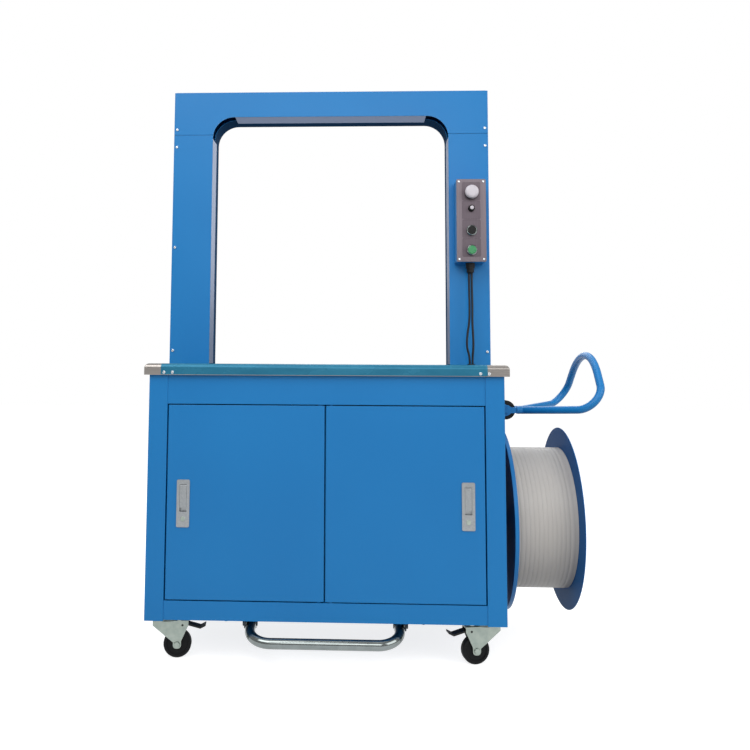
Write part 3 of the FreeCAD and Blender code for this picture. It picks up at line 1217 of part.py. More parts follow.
node("reel_arm", make_reel_arm())
node("guide_roller", make_guide_roller())
node("arm_bracket", make_arm_bracket())

# Inside the cabinet
FLOOR = "(cabinet_base + base_lift + floor_sheet)"
FEED_FRONT = "(arch_y - feed_width/2)"
FEED_BACK = "(arch_y + feed_width/2)"
PLATE_FRONT = "(head_back - side_plate - cam_stack)"
PINCH_Z = "(feed_z - feed_roller - pinch_roller - loose)"


def make_sealing_head():
    """The strapping head hung under the table: top plate, closed head and the feed side plate."""
    body = new_body("sealing_head")
    half = "head_width/2"
    prism(body, "XY_Plane", rectangle(minus(half), half, "head_front", "head_back"),
          "cabinet_top - head_top_sheet", "cabinet_top")
    prism(body, "XY_Plane", rectangle(minus(half) + " + head_inset", half + " - head_inset",
                                      "head_front + head_inset", PLATE_FRONT, "cam_thick"),
          "head_low", "cabinet_top - head_top_sheet")
    prism(body, "XZ_Plane", [
        (minus(half), "head_low"), ("head_tail", "head_low + cam_stack"), ("head_tail", "cabinet_top"),
        (minus(half), "cabinet_top")], PLATE_FRONT, PLATE_FRONT + " + side_plate")
    prism(body, "XY_Plane", rectangle(minus(half) + " + overrun", half + " - overrun",
                                      "arch_y - slot_width/4", "arch_y + slot_width/4"),
          "cabinet_top - overrun", "table_height - anvil_sheet")
    face = PLATE_FRONT + " + side_plate"
    cams = [(face + " - overrun", "0"), (face + " - overrun", "cam_thick")]
    for i in range(int(number("cam_count"))):
        near = face + " + %d*(cam_disc + cam_pitch) + cam_pitch" % i
        far = near + " + cam_disc"
        lobe = "cam_stack - %d*steel" % (2 * (i % 2))
        cams += [(near, "cam_thick"), (near, lobe), (far, lobe), (far, "cam_thick")]
    cams += [("head_back", "cam_thick"), ("head_back", "0")]
    turned(body, "Y", ("0", "0", "cam_z"), cams)
    for height in ("feed_z", PINCH_Z):
        turned(body, "Y", ("feed_x", "0", height), [
            (PLATE_FRONT, "0"), (PLATE_FRONT, "feed_shaft + feed_side"),
            (FEED_BACK + " + loose", "feed_shaft + feed_side"), (FEED_BACK + " + loose", "feed_shaft"),
            (FEED_FRONT + " - overrun", "feed_shaft"), (FEED_FRONT + " - overrun", "0")])
    return body


def make_roller(name, height, radius):
    body = new_body(name)
    turned(body, "Y", ("feed_x", "0", height), [
        (FEED_FRONT, "feed_shaft + slip"), (FEED_FRONT, radius + " - steel"),
        (FEED_FRONT + " + steel", radius), (FEED_BACK + " - steel", radius),
        (FEED_BACK, radius + " - steel"), (FEED_BACK, "feed_shaft + slip")])
    return body


def make_drive_motor():
    """The motor and gearbox that drive the head, hung from the table on a foot."""
    body = new_body("drive_motor")
    end = "motor_x + motor_length"
    turned(body, "X", ("0", "motor_y", "motor_z"), [
        ("motor_x", "0"), ("motor_x", "motor - motor_foot"), ("motor_x + motor_foot", "motor"),
        ("motor_x + motor_length/3", "motor"), ("motor_x + motor_length/3", "motor - overrun"),
        (end, "motor - overrun"), (end, "0")])
    half = "gearbox/2"
    prism(body, "YZ_Plane", rectangle("motor_y - " + half, "motor_y + " + half, "motor_z - " + half,
                                      "motor_z + " + half, "motor_foot"), end, "-head_width/2")
    prism(body, "XY_Plane", rectangle(end + " - gearbox", end, "motor_y - motor/2", "motor_y + motor/2"),
          "motor_z", "cabinet_top")
    return body


def make_strap_pool():
    """The tall box that holds a store of fed strap, with its inspection window set in."""
    body = new_body("strap_pool_box")
    left, right = "pool_x", "pool_x + pool_width"
    front, back = "pool_y - pool_depth/2", "pool_y + pool_depth/2"
    prism(body, "XZ_Plane", rectangle(left, right, FLOOR, FLOOR + " + pool_height"), front, back)
    prism(body, "XZ_Plane", rectangle(
        left + " + pool_window", right + " - pool_window", FLOOR + " + pool_window",
        FLOOR + " + pool_height - pool_window", "pool_sheet"), front, front + " + pool_sheet", cut=True)
    return body


def make_electric_box():
    """The electrical box on the cabinet floor, with its lid a little proud."""
    body = new_body("electric_box")
    back = BACK + " - mains_length"
    front = back + " - electric_depth"
    left, right = "electric_x", "electric_x + electric_width"
    prism(body, "XZ_Plane", rectangle(left, right, FLOOR, FLOOR + " + electric_height"), front, back)
    prism(body, "XZ_Plane", rectangle(
        left + " + lid_inset", right + " - lid_inset", FLOOR + " + lid_inset",
        FLOOR + " + electric_height - lid_inset", "lid_inset"), front + " - lid_proud", front)
    return body


node("sealing_head", make_sealing_head())
node("feed_roller", make_roller("feed_roller_wheel", "feed_z", "feed_roller"))
node("pinch_roller", make_roller("pinch_roller_wheel", PINCH_Z, "pinch_roller"))
node("drive_motor", make_drive_motor())
node("strap_pool_box", make_strap_pool())
node("electric_box", make_electric_box())

# Checks and files
doc.recompute()
faults = [thing.Name for thing in doc.Objects if {"Invalid", "Error"} & set(thing.State)]
for name, thing in NODES.items():
    if thing.Shape.isNull() or not thing.Shape.isValid() or thing.Shape.Volume <= 0:
        faults.append(name)
if faults:
    raise RuntimeError("failed pieces: " + ", ".join(faults))
os.makedirs("parts", exist_ok=True)
for name, thing in NODES.items():
    thing.Shape.exportStep("parts/%s.step" % name)
print(len(NODES), "nodes")
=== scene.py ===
# Arch strapping machine on castors: its visible surfaces, and the studio round it
import bpy
import bmesh
import json
import math
from mathutils import Matrix, Vector


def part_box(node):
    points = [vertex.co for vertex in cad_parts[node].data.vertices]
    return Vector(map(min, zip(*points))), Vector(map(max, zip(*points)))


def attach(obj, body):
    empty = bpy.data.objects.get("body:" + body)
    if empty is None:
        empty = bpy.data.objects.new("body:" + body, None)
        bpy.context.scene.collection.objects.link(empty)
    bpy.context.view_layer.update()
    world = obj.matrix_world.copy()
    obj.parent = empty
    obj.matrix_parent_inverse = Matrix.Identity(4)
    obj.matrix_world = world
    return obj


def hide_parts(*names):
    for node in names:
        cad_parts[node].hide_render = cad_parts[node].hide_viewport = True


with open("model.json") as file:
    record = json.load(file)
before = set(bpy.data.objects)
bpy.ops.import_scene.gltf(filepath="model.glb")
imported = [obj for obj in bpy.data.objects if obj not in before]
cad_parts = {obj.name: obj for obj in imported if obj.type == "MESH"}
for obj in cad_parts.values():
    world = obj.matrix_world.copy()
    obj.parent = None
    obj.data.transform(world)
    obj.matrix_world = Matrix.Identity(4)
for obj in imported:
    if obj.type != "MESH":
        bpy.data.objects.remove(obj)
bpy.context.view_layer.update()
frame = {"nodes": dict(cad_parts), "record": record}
MM = 0.001
BODY_OF = {node: body for body, nodes in frame["record"]["behaviour"]["bodies"].items() for node in nodes}
SLOT_OF = {part["node"]: part["material_slot"] for part in frame["record"]["subparts"]}

# Camera, as it stood for the photograph
CAMERA_PLACE = Vector((0.08786, -2.42202, 0.79779))
CAMERA_YAW, CAMERA_PITCH, CAMERA_ROLL = -0.0394, 0.0827, 0.0052
LENS, SENSOR = 37.79, 36.0
SHIFT_ACROSS, SHIFT_UP = 0.0638, -0.1017


def make_camera():
    """A camera at the photograph's place; the photograph is a crop, so its view is shifted."""
    ahead = Vector((math.sin(CAMERA_YAW) * math.cos(CAMERA_PITCH),
                    math.cos(CAMERA_YAW) * math.cos(CAMERA_PITCH), math.sin(CAMERA_PITCH)))
    right = Vector((math.cos(CAMERA_YAW), -math.sin(CAMERA_YAW), 0.0))
    up = right.cross(ahead)
    turned_right = right * math.cos(CAMERA_ROLL) + up * math.sin(CAMERA_ROLL)
    turned_up = up * math.cos(CAMERA_ROLL) - right * math.sin(CAMERA_ROLL)
    lens = bpy.data.cameras.new("camera")
    lens.lens, lens.sensor_width = LENS, SENSOR
    lens.shift_x, lens.shift_y = SHIFT_ACROSS, SHIFT_UP
    camera = bpy.data.objects.new("camera", lens)
    bpy.context.scene.collection.objects.link(camera)
    turn = Matrix((turned_right, turned_up, -ahead)).transposed()
    camera.matrix_world = Matrix.Translation(CAMERA_PLACE) @ turn.to_4x4()
    bpy.context.scene.camera = camera


make_camera()


# Material tools
def linear(colour):
    """A hex colour, as seen on a screen, in Blender's linear light."""
    parts = [int(colour[place:place + 2], 16) / 255 for place in (1, 3, 5)]
    return [part / 12.92 if part <= 0.04045 else ((part + 0.055) / 1.055) ** 2.4 for part in parts] + [1.0]


def wire(tree, made, links=None, sockets=None):
    """Sets a node's own socket values and links the outputs that feed its other sockets."""
    for key, value in (sockets or {}).items():
        made.inputs[key].default_value = value
    for key, output in (links or {}).items():
        tree.links.new(output, made.inputs[key])
    return made


def add(tree, kind, links=None, sockets=None, **settings):
    """Adds one node with its settings, its sockets' values and the outputs that feed it."""
    made = tree.nodes.new(kind)
    for key, value in settings.items():
        setattr(made, key, value)
    return wire(tree, made, links, sockets)


def begin(name):
    """A new material: its tree, its Principled shader and the object's own coordinates."""
    material = bpy.data.materials.new(name)
    material.use_nodes = True
    tree = material.node_tree
    return material, tree, tree.nodes["Principled BSDF"], add(tree, "ShaderNodeTexCoord").outputs["Object"]


# Materials
def powder_coated_steel(name, deep, light, gleam, smooth, rough):
    """Sheet steel, powder coated and baked: its orange peel is drawn coarse, at 5 mm, to show."""
    material, tree, shader, place = begin(name)
    peel = add(tree, "ShaderNodeTexNoise", {"Vector": place}, {"Scale": 200.0, "Detail": 2.0})
    cloud = add(tree, "ShaderNodeTexNoise", {"Vector": place}, {"Scale": 3.0, "Detail": 1.0})
    tone = add(tree, "ShaderNodeMix", {"Factor": cloud.outputs["Fac"]},
               {6: linear(deep), 7: linear(light)}, data_type="RGBA")
    bumps = add(tree, "ShaderNodeBump", {"Height": peel.outputs["Fac"]}, {"Distance": 0.05 * MM})
    gloss = add(tree, "ShaderNodeMapRange", {"Value": cloud.outputs["Fac"]},
                {"To Min": smooth, "To Max": rough})
    wire(tree, shader, {"Base Color": tone.outputs[2], "Normal": bumps.outputs["Normal"],
                        "Roughness": gloss.outputs["Result"]}, {"IOR": 1.5, "Specular IOR Level": gleam})
    return material


def brushed_stainless():
    """Stainless sheet, brushed along the table's length: streaks drawn 1.5 mm apart, to show."""
    material, tree, shader, place = begin("brushed_stainless")
    along = add(tree, "ShaderNodeMapping", {"Vector": place}, {"Scale": (6.0, 600.0, 600.0)})
    streaks = add(tree, "ShaderNodeTexNoise", {"Vector": along.outputs["Vector"]},
                  {"Scale": 1.0, "Detail": 3.0})
    tone = add(tree, "ShaderNodeMix", {"Factor": streaks.outputs["Fac"]},
               {6: linear("#7a7571"), 7: linear("#a9a4a0")}, data_type="RGBA")
    bumps = add(tree, "ShaderNodeBump", {"Height": streaks.outputs["Fac"]}, {"Distance": 0.03 * MM})
    gloss = add(tree, "ShaderNodeMapRange", {"Value": streaks.outputs["Fac"]},
                {"To Min": 0.28, "To Max": 0.42})
    wire(tree, shader, {"Base Color": tone.outputs[2], "Normal": bumps.outputs["Normal"],
                        "Roughness": gloss.outputs["Result"]}, {"Metallic": 1.0, "Anisotropic": 0.4})
    return material


def protective_film():
    """Blue polythene film left on the stainless: soft wrinkles, 80 mm long and 40 mm apart."""
    material, tree, shader, place = begin("protective_film")
    along = add(tree, "ShaderNodeMapping", {"Vector": place}, {"Scale": (12.0, 25.0, 25.0)})
    folds = add(tree, "ShaderNodeTexNoise", {"Vector": along.outputs["Vector"]},
                {"Scale": 1.0, "Detail": 3.0})
    tone = add(tree, "ShaderNodeMix", {"Factor": folds.outputs["Fac"]},
               {6: linear("#1c5f7c"), 7: linear("#357d99")}, data_type="RGBA")
    bumps = add(tree, "ShaderNodeBump", {"Height": folds.outputs["Fac"]}, {"Distance": 0.4 * MM})
    gloss = add(tree, "ShaderNodeMapRange", {"Value": folds.outputs["Fac"]},
                {"To Min": 0.2, "To Max": 0.34})
    wire(tree, shader, {"Base Color": tone.outputs[2], "Normal": bumps.outputs["Normal"],
                        "Roughness": gloss.outputs["Result"]},
         {"IOR": 1.5, "Metallic": 0.2, "Specular IOR Level": 0.15})
    return material


def ground_tool_steel():
    """Tool steel, surface ground: short parallel scratches some 2 mm apart."""
    material, tree, shader, place = begin("ground_tool_steel")
    across = add(tree, "ShaderNodeMapping", {"Vector": place}, {"Scale": (500.0, 30.0, 500.0)})
    scratches = add(tree, "ShaderNodeTexNoise", {"Vector": across.outputs["Vector"]},
                    {"Scale": 1.0, "Detail": 2.0})
    tone = add(tree, "ShaderNodeMix", {"Factor": scratches.outputs["Fac"]},
               {6: linear("#6c6f71"), 7: linear("#929597")}, data_type="RGBA")
    bumps = add(tree, "ShaderNodeBump", {"Height": scratches.outputs["Fac"]}, {"Distance": 0.03 * MM})
    gloss = add(tree, "ShaderNodeMapRange", {"Value": scratches.outputs["Fac"]},
                {"To Min": 0.32, "To Max": 0.45})
    wire(tree, shader, {"Base Color": tone.outputs[2], "Normal": bumps.outputs["Normal"],
                        "Roughness": gloss.outputs["Result"]}, {"Metallic": 1.0})
    return material


def bright_zinc():
    """Screws turned from steel and bright zinc plated: near mirror, with a cloud some 7 mm across."""
    material, tree, shader, place = begin("bright_zinc")
    cloud = add(tree, "ShaderNodeTexNoise", {"Vector": place}, {"Scale": 150.0, "Detail": 1.0})
    tone = add(tree, "ShaderNodeMix", {"Factor": cloud.outputs["Fac"]},
               {6: linear("#bcc2c7"), 7: linear("#e2e6e9")}, data_type="RGBA")
    gloss = add(tree, "ShaderNodeMapRange", {"Value": cloud.outputs["Fac"]},
                {"To Min": 0.18, "To Max": 0.3})
    wire(tree, shader, {"Base Color": tone.outputs[2], "Roughness": gloss.outputs["Result"]},
         {"Metallic": 1.0})
    return material


def rolled_spring_strip():
    """Cold rolled spring strip, thinly zinc plated and marked along its length: its grey is tinted blue and
    darkened, painted reflection of the blue paint round it and painted shade inside the arch.
    """
    material, tree, shader, place = begin("rolled_spring_strip")
    rolled = add(tree, "ShaderNodeMapping", {"Vector": place}, {"Scale": (60.0, 60.0, 8.0)})
    marks = add(tree, "ShaderNodeTexNoise", {"Vector": rolled.outputs["Vector"]},
                {"Scale": 1.0, "Detail": 3.0})
    # The blue-grey tones are the strip's grey with painted reflection and painted shade
    tone = add(tree, "ShaderNodeMix", {"Factor": marks.outputs["Fac"]},
               {6: linear("#54688a"), 7: linear("#6f81a2")}, data_type="RGBA")
    bumps = add(tree, "ShaderNodeBump", {"Height": marks.outputs["Fac"]}, {"Distance": 0.05 * MM})
    gloss = add(tree, "ShaderNodeMapRange", {"Value": marks.outputs["Fac"]},
                {"To Min": 0.4, "To Max": 0.55})
    wire(tree, shader, {"Base Color": tone.outputs[2], "Normal": bumps.outputs["Normal"],
                        "Roughness": gloss.outputs["Result"]}, {"Metallic": 0.6})
    return material


def brushed_aluminium(name, dark, pale):
    """Anodised aluminium plate, brushed upright: warm grey, with streaks drawn 1.5 mm apart."""
    material, tree, shader, place = begin(name)
    upright = add(tree, "ShaderNodeMapping", {"Vector": place}, {"Scale": (700.0, 700.0, 8.0)})
    streaks = add(tree, "ShaderNodeTexNoise", {"Vector": upright.outputs["Vector"]},
                  {"Scale": 1.0, "Detail": 3.0})
    tone = add(tree, "ShaderNodeMix", {"Factor": streaks.outputs["Fac"]},
               {6: linear(dark), 7: linear(pale)}, data_type="RGBA")
    bumps = add(tree, "ShaderNodeBump", {"Height": streaks.outputs["Fac"]}, {"Distance": 0.02 * MM})
    gloss = add(tree, "ShaderNodeMapRange", {"Value": streaks.outputs["Fac"]},
                {"To Min": 0.36, "To Max": 0.5})
    wire(tree, shader, {"Base Color": tone.outputs[2], "Normal": bumps.outputs["Normal"],
                        "Roughness": gloss.outputs["Result"]}, {"Metallic": 1.0, "Anisotropic": 0.5})
    return material


def chrome_plate():
    """Steel tube and rings, polished and chrome plated: a mirror with a slight haze."""
    material, tree, shader, place = begin("chrome_plate")
    haze = add(tree, "ShaderNodeTexNoise", {"Vector": place}, {"Scale": 40.0, "Detail": 2.0})
    tone = add(tree, "ShaderNodeMix", {"Factor": haze.outputs["Fac"]},
               {6: linear("#6d7473"), 7: linear("#8f9594")}, data_type="RGBA")
    gloss = add(tree, "ShaderNodeMapRange", {"Value": haze.outputs["Fac"]},
                {"To Min": 0.1, "To Max": 0.2})
    wire(tree, shader, {"Base Color": tone.outputs[2], "Roughness": gloss.outputs["Result"]},
         {"Metallic": 1.0})
    return material


def moulded_plastic(name, dark, pale, smooth, rough, gleam=0.5):
    """Injection moulded plastic: even colour with a fine spark grain from the mould, drawn at 1 mm."""
    material, tree, shader, place = begin(name)
    grain = add(tree, "ShaderNodeTexNoise", {"Vector": place}, {"Scale": 900.0, "Detail": 2.0})
    cloud = add(tree, "ShaderNodeTexNoise", {"Vector": place}, {"Scale": 30.0, "Detail": 1.0})
    tone = add(tree, "ShaderNodeMix", {"Factor": cloud.outputs["Fac"]},
               {6: linear(dark), 7: linear(pale)}, data_type="RGBA")
    bumps = add(tree, "ShaderNodeBump", {"Height": grain.outputs["Fac"]}, {"Distance": 0.03 * MM})
    gloss = add(tree, "ShaderNodeMapRange", {"Value": grain.outputs["Fac"]},
                {"To Min": smooth, "To Max": rough})
    wire(tree, shader, {"Base Color": tone.outputs[2], "Normal": bumps.outputs["Normal"],
                        "Roughness": gloss.outputs["Result"]}, {"IOR": 1.49, "Specular IOR Level": gleam})
    return material


def zinc_plated_pressing():
    """Pressed steel, zinc plated and passivated: cloudy satin metal, faintly green, 18 mm clouds."""
    material, tree, shader, place = begin("zinc_plated_pressing")
    cloud = add(tree, "ShaderNodeTexNoise", {"Vector": place}, {"Scale": 55.0, "Detail": 4.0})
    tone = add(tree, "ShaderNodeMix", {"Factor": cloud.outputs["Fac"]},
               {6: linear("#7e8b85"), 7: linear("#b3bbb2")}, data_type="RGBA")
    bumps = add(tree, "ShaderNodeBump", {"Height": cloud.outputs["Fac"]}, {"Distance": 0.08 * MM})
    gloss = add(tree, "ShaderNodeMapRange", {"Value": cloud.outputs["Fac"]},
                {"To Min": 0.34, "To Max": 0.5})
    wire(tree, shader, {"Base Color": tone.outputs[2], "Normal": bumps.outputs["Normal"],
                        "Roughness": gloss.outputs["Result"]}, {"Metallic": 0.9})
    return material


def satin_nickel():
    """Die-cast zinc lock parts, tumbled and nickel plated: pale satin metal with a 4 mm cloud."""
    material, tree, shader, place = begin("satin_nickel")
    cloud = add(tree, "ShaderNodeTexNoise", {"Vector": place}, {"Scale": 250.0, "Detail": 2.0})
    tone = add(tree, "ShaderNodeMix", {"Factor": cloud.outputs["Fac"]},
               {6: linear("#83878a"), 7: linear("#a1a5a8")}, data_type="RGBA")
    bumps = add(tree, "ShaderNodeBump", {"Height": cloud.outputs["Fac"]}, {"Distance": 0.03 * MM})
    gloss = add(tree, "ShaderNodeMapRange", {"Value": cloud.outputs["Fac"]},
                {"To Min": 0.28, "To Max": 0.4})
    wire(tree, shader, {"Base Color": tone.outputs[2], "Normal": bumps.outputs["Normal"],
                        "Roughness": gloss.outputs["Result"]}, {"Metallic": 0.95})
    return material


def blackened_steel():
    """Mild steel brackets, blackened in hot oil: dark blue-grey, satin, with 9 mm clouds."""
    material, tree, shader, place = begin("blackened_steel")
    cloud = add(tree, "ShaderNodeTexNoise", {"Vector": place}, {"Scale": 110.0, "Detail": 3.0})
    tone = add(tree, "ShaderNodeMix", {"Factor": cloud.outputs["Fac"]},
               {6: linear("#2b3138"), 7: linear("#3d454e")}, data_type="RGBA")
    bumps = add(tree, "ShaderNodeBump", {"Height": cloud.outputs["Fac"]}, {"Distance": 0.08 * MM})
    gloss = add(tree, "ShaderNodeMapRange", {"Value": cloud.outputs["Fac"]},
                {"To Min": 0.36, "To Max": 0.5})
    wire(tree, shader, {"Base Color": tone.outputs[2], "Normal": bumps.outputs["Normal"],
                        "Roughness": gloss.outputs["Result"]}, {"Metallic": 0.6})
    return material


def tread_rubber():
    """Castor tyre and hub, moulded in black rubber: matt, with grey scuffs some 8 mm long."""
    material, tree, shader, place = begin("tread_rubber")
    scuffs = add(tree, "ShaderNodeTexNoise", {"Vector": place}, {"Scale": 130.0, "Detail": 4.0})
    tone = add(tree, "ShaderNodeMix", {"Factor": scuffs.outputs["Fac"]},
               {6: linear("#060607"), 7: linear("#191b1d")}, data_type="RGBA")
    bumps = add(tree, "ShaderNodeBump", {"Height": scuffs.outputs["Fac"]}, {"Distance": 0.12 * MM})
    gloss = add(tree, "ShaderNodeMapRange", {"Value": scuffs.outputs["Fac"]},
                {"To Min": 0.48, "To Max": 0.68})
    wire(tree, shader, {"Base Color": tone.outputs[2], "Normal": bumps.outputs["Normal"],
                        "Roughness": gloss.outputs["Result"]}, {"IOR": 1.52, "Specular IOR Level": 0.15})
    return material


def embossed_strap():
    """Polypropylene strap, rolled with an emboss 3 mm across: milky warm grey, slightly glossy."""
    material, tree, shader, place = begin("embossed_strap")
    emboss = add(tree, "ShaderNodeTexVoronoi", {"Vector": place}, {"Scale": 330.0})
    around = add(tree, "ShaderNodeMapping", {"Vector": place}, {"Scale": (18.0, 5.0, 5.0)})
    lengths = add(tree, "ShaderNodeTexNoise", {"Vector": around.outputs["Vector"]},
                  {"Scale": 1.0, "Detail": 2.0})
    tone = add(tree, "ShaderNodeMix", {"Factor": lengths.outputs["Fac"]},
               {6: linear("#aca8a3"), 7: linear("#bab6b1")}, data_type="RGBA")
    bumps = add(tree, "ShaderNodeBump", {"Height": emboss.outputs["Distance"]}, {"Distance": 0.12 * MM})
    gloss = add(tree, "ShaderNodeMapRange", {"Value": lengths.outputs["Fac"]},
                {"To Min": 0.4, "To Max": 0.5})
    wire(tree, shader, {"Base Color": tone.outputs[2], "Normal": bumps.outputs["Normal"],
                        "Roughness": gloss.outputs["Result"]}, {"IOR": 1.49})
    return material


def galvanised_sheet():
    """Hot-dip galvanised sheet, with its spangle of crystals 15 mm across."""
    material, tree, shader, place = begin("galvanised_sheet")
    spangle = add(tree, "ShaderNodeTexVoronoi", {"Vector": place}, {"Scale": 70.0})
    tone = add(tree, "ShaderNodeMix", {"Factor": spangle.outputs["Color"]},
               {6: linear("#858b8e"), 7: linear("#b6bcbf")}, data_type="RGBA")
    gloss = add(tree, "ShaderNodeMapRange", {"Value": spangle.outputs["Color"]},
                {"To Min": 0.35, "To Max": 0.5})
    wire(tree, shader, {"Base Color": tone.outputs[2], "Roughness": gloss.outputs["Result"]},
         {"Metallic": 0.9})
    return material


def stoved_enamel(name, dark, pale):
    """Stoved enamel over a casting or sheet: semi-gloss, with the casting's 8 mm unevenness."""
    material, tree, shader, place = begin(name)
    uneven = add(tree, "ShaderNodeTexNoise", {"Vector": place}, {"Scale": 120.0, "Detail": 3.0})
    tone = add(tree, "ShaderNodeMix", {"Factor": uneven.outputs["Fac"]},
               {6: linear(dark), 7: linear(pale)}, data_type="RGBA")
    bumps = add(tree, "ShaderNodeBump", {"Height": uneven.outputs["Fac"]}, {"Distance": 0.15 * MM})
    gloss = add(tree, "ShaderNodeMapRange", {"Value": uneven.outputs["Fac"]},
                {"To Min": 0.3, "To Max": 0.42})
    wire(tree, shader, {"Base Color": tone.outputs[2], "Normal": bumps.outputs["Normal"],
                        "Roughness": gloss.outputs["Result"]}, {"IOR": 1.5})
    return material


FINISHES = {
    "blue_paint": powder_coated_steel("powder_coated_steel", "#106cab", "#1876b5", 0.3, 0.34, 0.42),
    "stainless_table": brushed_stainless(),
    "ground_steel": ground_tool_steel(),
    "bright_screws": bright_zinc(),
    "plated_gates": rolled_spring_strip(),
    "brushed_faceplate": brushed_aluminium("brushed_aluminium", "#585055", "#766e74"),
    "chrome_trim": chrome_plate(),
    "white_button": moulded_plastic("white_abs", "#b2adb4", "#c4bfc6", 0.28, 0.4),
    "black_plastic": moulded_plastic("black_nylon", "#040405", "#0c0d0e", 0.42, 0.55, 0.25),
    "green_button": moulded_plastic("green_polycarbonate", "#147440", "#1d864b", 0.2, 0.3),
    "cable_sheath": moulded_plastic("pvc_sheath", "#0e1014", "#181b20", 0.4, 0.5, 0.3),
    "zinc_plate": zinc_plated_pressing(),
    "satin_nickel": satin_nickel(),
    "black_steel": blackened_steel(),
    "wheel_rubber": tread_rubber(),
    "pedal_plastic": moulded_plastic("pedal_nylon", "#08090a", "#121415", 0.42, 0.55, 0.3),
    "strap_plastic": embossed_strap(),
    "pool_sheet": galvanised_sheet(),
    "motor_paint": stoved_enamel("motor_enamel", "#2e4a63", "#385874"),
    "grey_enamel": stoved_enamel("grey_box_enamel", "#8f959a", "#a2a8ad"),
}
FILM = protective_film()
# The flanges' flat faces and the inside of the strap's track get a duller coat, painted darker than the sheet
# metal: painted shade, where they lie beside the cabinet and inside the arch
REEL_PAINTED_SHADE = powder_coated_steel("reel_face_painted_shade", "#134c80", "#18558b", 0.15, 0.55, 0.65)
TRACK_PAINTED_SHADE = powder_coated_steel("track_painted_shade", "#0a3354", "#0d3b5f", 0.05, 0.85, 0.95)
LEGEND = brushed_aluminium("legend_aluminium", "#4c444a", "#635b61")
for node, thing in frame["nodes"].items():
    thing.data.materials.clear()
    thing.data.materials.append(FINISHES[SLOT_OF[node]])


# Modelling tools
def choose(piece, *others):
    """Selects a piece, and others to join to it, and nothing else; the piece is the active one."""
    bpy.ops.object.select_all(action="DESELECT")
    for chosen in (piece, *others):
        chosen.select_set(True)
    bpy.context.view_layer.objects.active = piece


def begin_piece(adder, **settings):
    """Deselects everything and adds one primitive, with its place in its mesh."""
    bpy.ops.object.select_all(action="DESELECT")
    adder(**settings)
    bpy.ops.object.transform_apply(location=True, rotation=True, scale=True)
    return bpy.context.object


def edit(piece, kind="FACE"):
    """Opens a piece in edit mode with nothing selected, to pick faces or edges."""
    choose(piece)
    bpy.ops.object.mode_set(mode="EDIT")
    bpy.ops.mesh.select_mode(type=kind)
    bpy.ops.mesh.select_all(action="DESELECT")


def pick(piece, wanted):
    """Selects the faces, or in edge mode the edges, that a test of middle and direction wants."""
    form = bmesh.from_edit_mesh(piece.data)
    form.normal_update()
    if "FACE" in form.select_mode:
        for face in form.faces:
            face.select_set(bool(wanted(face.calc_center_median(), face.normal)))
    else:
        for edge in form.edges:
            ends = [corner.co for corner in edge.verts]
            edge.select_set(bool(wanted((ends[0] + ends[1]) / 2, (ends[1] - ends[0]).normalized())))
    form.select_flush_mode()
    bmesh.update_edit_mesh(piece.data)


def leave_edit():
    """Closes edit mode."""
    bpy.ops.object.mode_set(mode="OBJECT")


def copy_node(node):
    """A copy of a node's form in a new object, with its loose triangles merged and its own normals."""
    piece = bpy.data.objects.new(node + "_dressed", frame["nodes"][node].data.copy())
    bpy.context.scene.collection.objects.link(piece)
    choose(piece)
    bpy.ops.mesh.customdata_custom_splitnormals_clear()
    edit(piece)
    bpy.ops.mesh.select_all(action="SELECT")
    bpy.ops.mesh.remove_doubles(threshold=0.00002)
    leave_edit()
    return piece


def apply(piece, kind, **settings):
    """Adds a modifier to a piece and applies it."""
    modifier = piece.modifiers.new(kind.lower(), kind)
    for key, value in settings.items():
        setattr(modifier, key, value)
    choose(piece)
    bpy.ops.object.modifier_apply(modifier=modifier.name)


def move(piece, place):
    """Moves a piece's mesh and leaves its object at the origin."""
    piece.location = place
    choose(piece)
    bpy.ops.object.transform_apply(location=True, rotation=True, scale=True)
    return piece


def twin(piece):
    """A copy of a piece with its own mesh."""
    other = piece.copy()
    other.data = piece.data.copy()
    bpy.context.scene.collection.objects.link(other)
    return other


def finish_piece(piece, name, body, slot, material=None, smooth=35.0):
    """Names a piece, smooths its round faces, gives it its finish and joins it to its body."""
    piece.name = name
    piece.data.name = name
    piece.data.materials.clear()
    piece.data.materials.append(material or FINISHES[slot])
    choose(piece)
    bpy.ops.object.shade_smooth_by_angle(angle=math.radians(smooth))
    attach(piece, body)
    return piece


# Control cables
CABLE_WIDTH = 0.0065
CABLE_X, CABLE_Y, CABLE_Z = 0.422, -0.075, 0.800
BOWED_ROUTE = [(-4, 0, 268), (-4, 0, 218), (-3, -1, 171), (-4, -1, 126), (-11, -2, 86), (-13, -2, 50),
               (-4, 0, 20), (-4, 0, 0)]
STRAIGHT_ROUTE = [(4, 0, 268), (4, 0, 218), (5, -1, 171), (4, -2, 126), (6, -3, 86), (7, -3, 50),
                  (4, 0, 20), (4, 0, 0)]


def make_cable(name, route):
    """One round cable from the gland under the control box to the grommet in the table."""
    line = bpy.data.curves.new(name, "CURVE")
    line.dimensions = "3D"
    line.bevel_depth = CABLE_WIDTH / 2
    line.bevel_resolution = 5
    line.resolution_u = 12
    spline = line.splines.new("NURBS")
    spline.points.add(len(route) - 1)
    for point, (x, y, z) in zip(spline.points, route):
        point.co = (CABLE_X + x * MM, CABLE_Y + y * MM, CABLE_Z + z * MM, 1.0)
    spline.order_u = 3
    spline.use_endpoint_u = True
    cable = bpy.data.objects.new(name, line)
    bpy.context.scene.collection.objects.link(cable)
    line.materials.append(FINISHES["cable_sheath"])
    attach(cable, "cabinet")
    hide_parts("control_cables")


make_cable("cable_bowed", BOWED_ROUTE)
make_cable("cable_straight", STRAIGHT_ROUTE)


# Sheet metal with softened edges
EVEN = 0.7  # a face whose normal has less than this along an axis doesn't face that way
TRACK_SIDE, TRACK_TOP = 0.46, 1.6  # the channel's outer cheeks lie past these


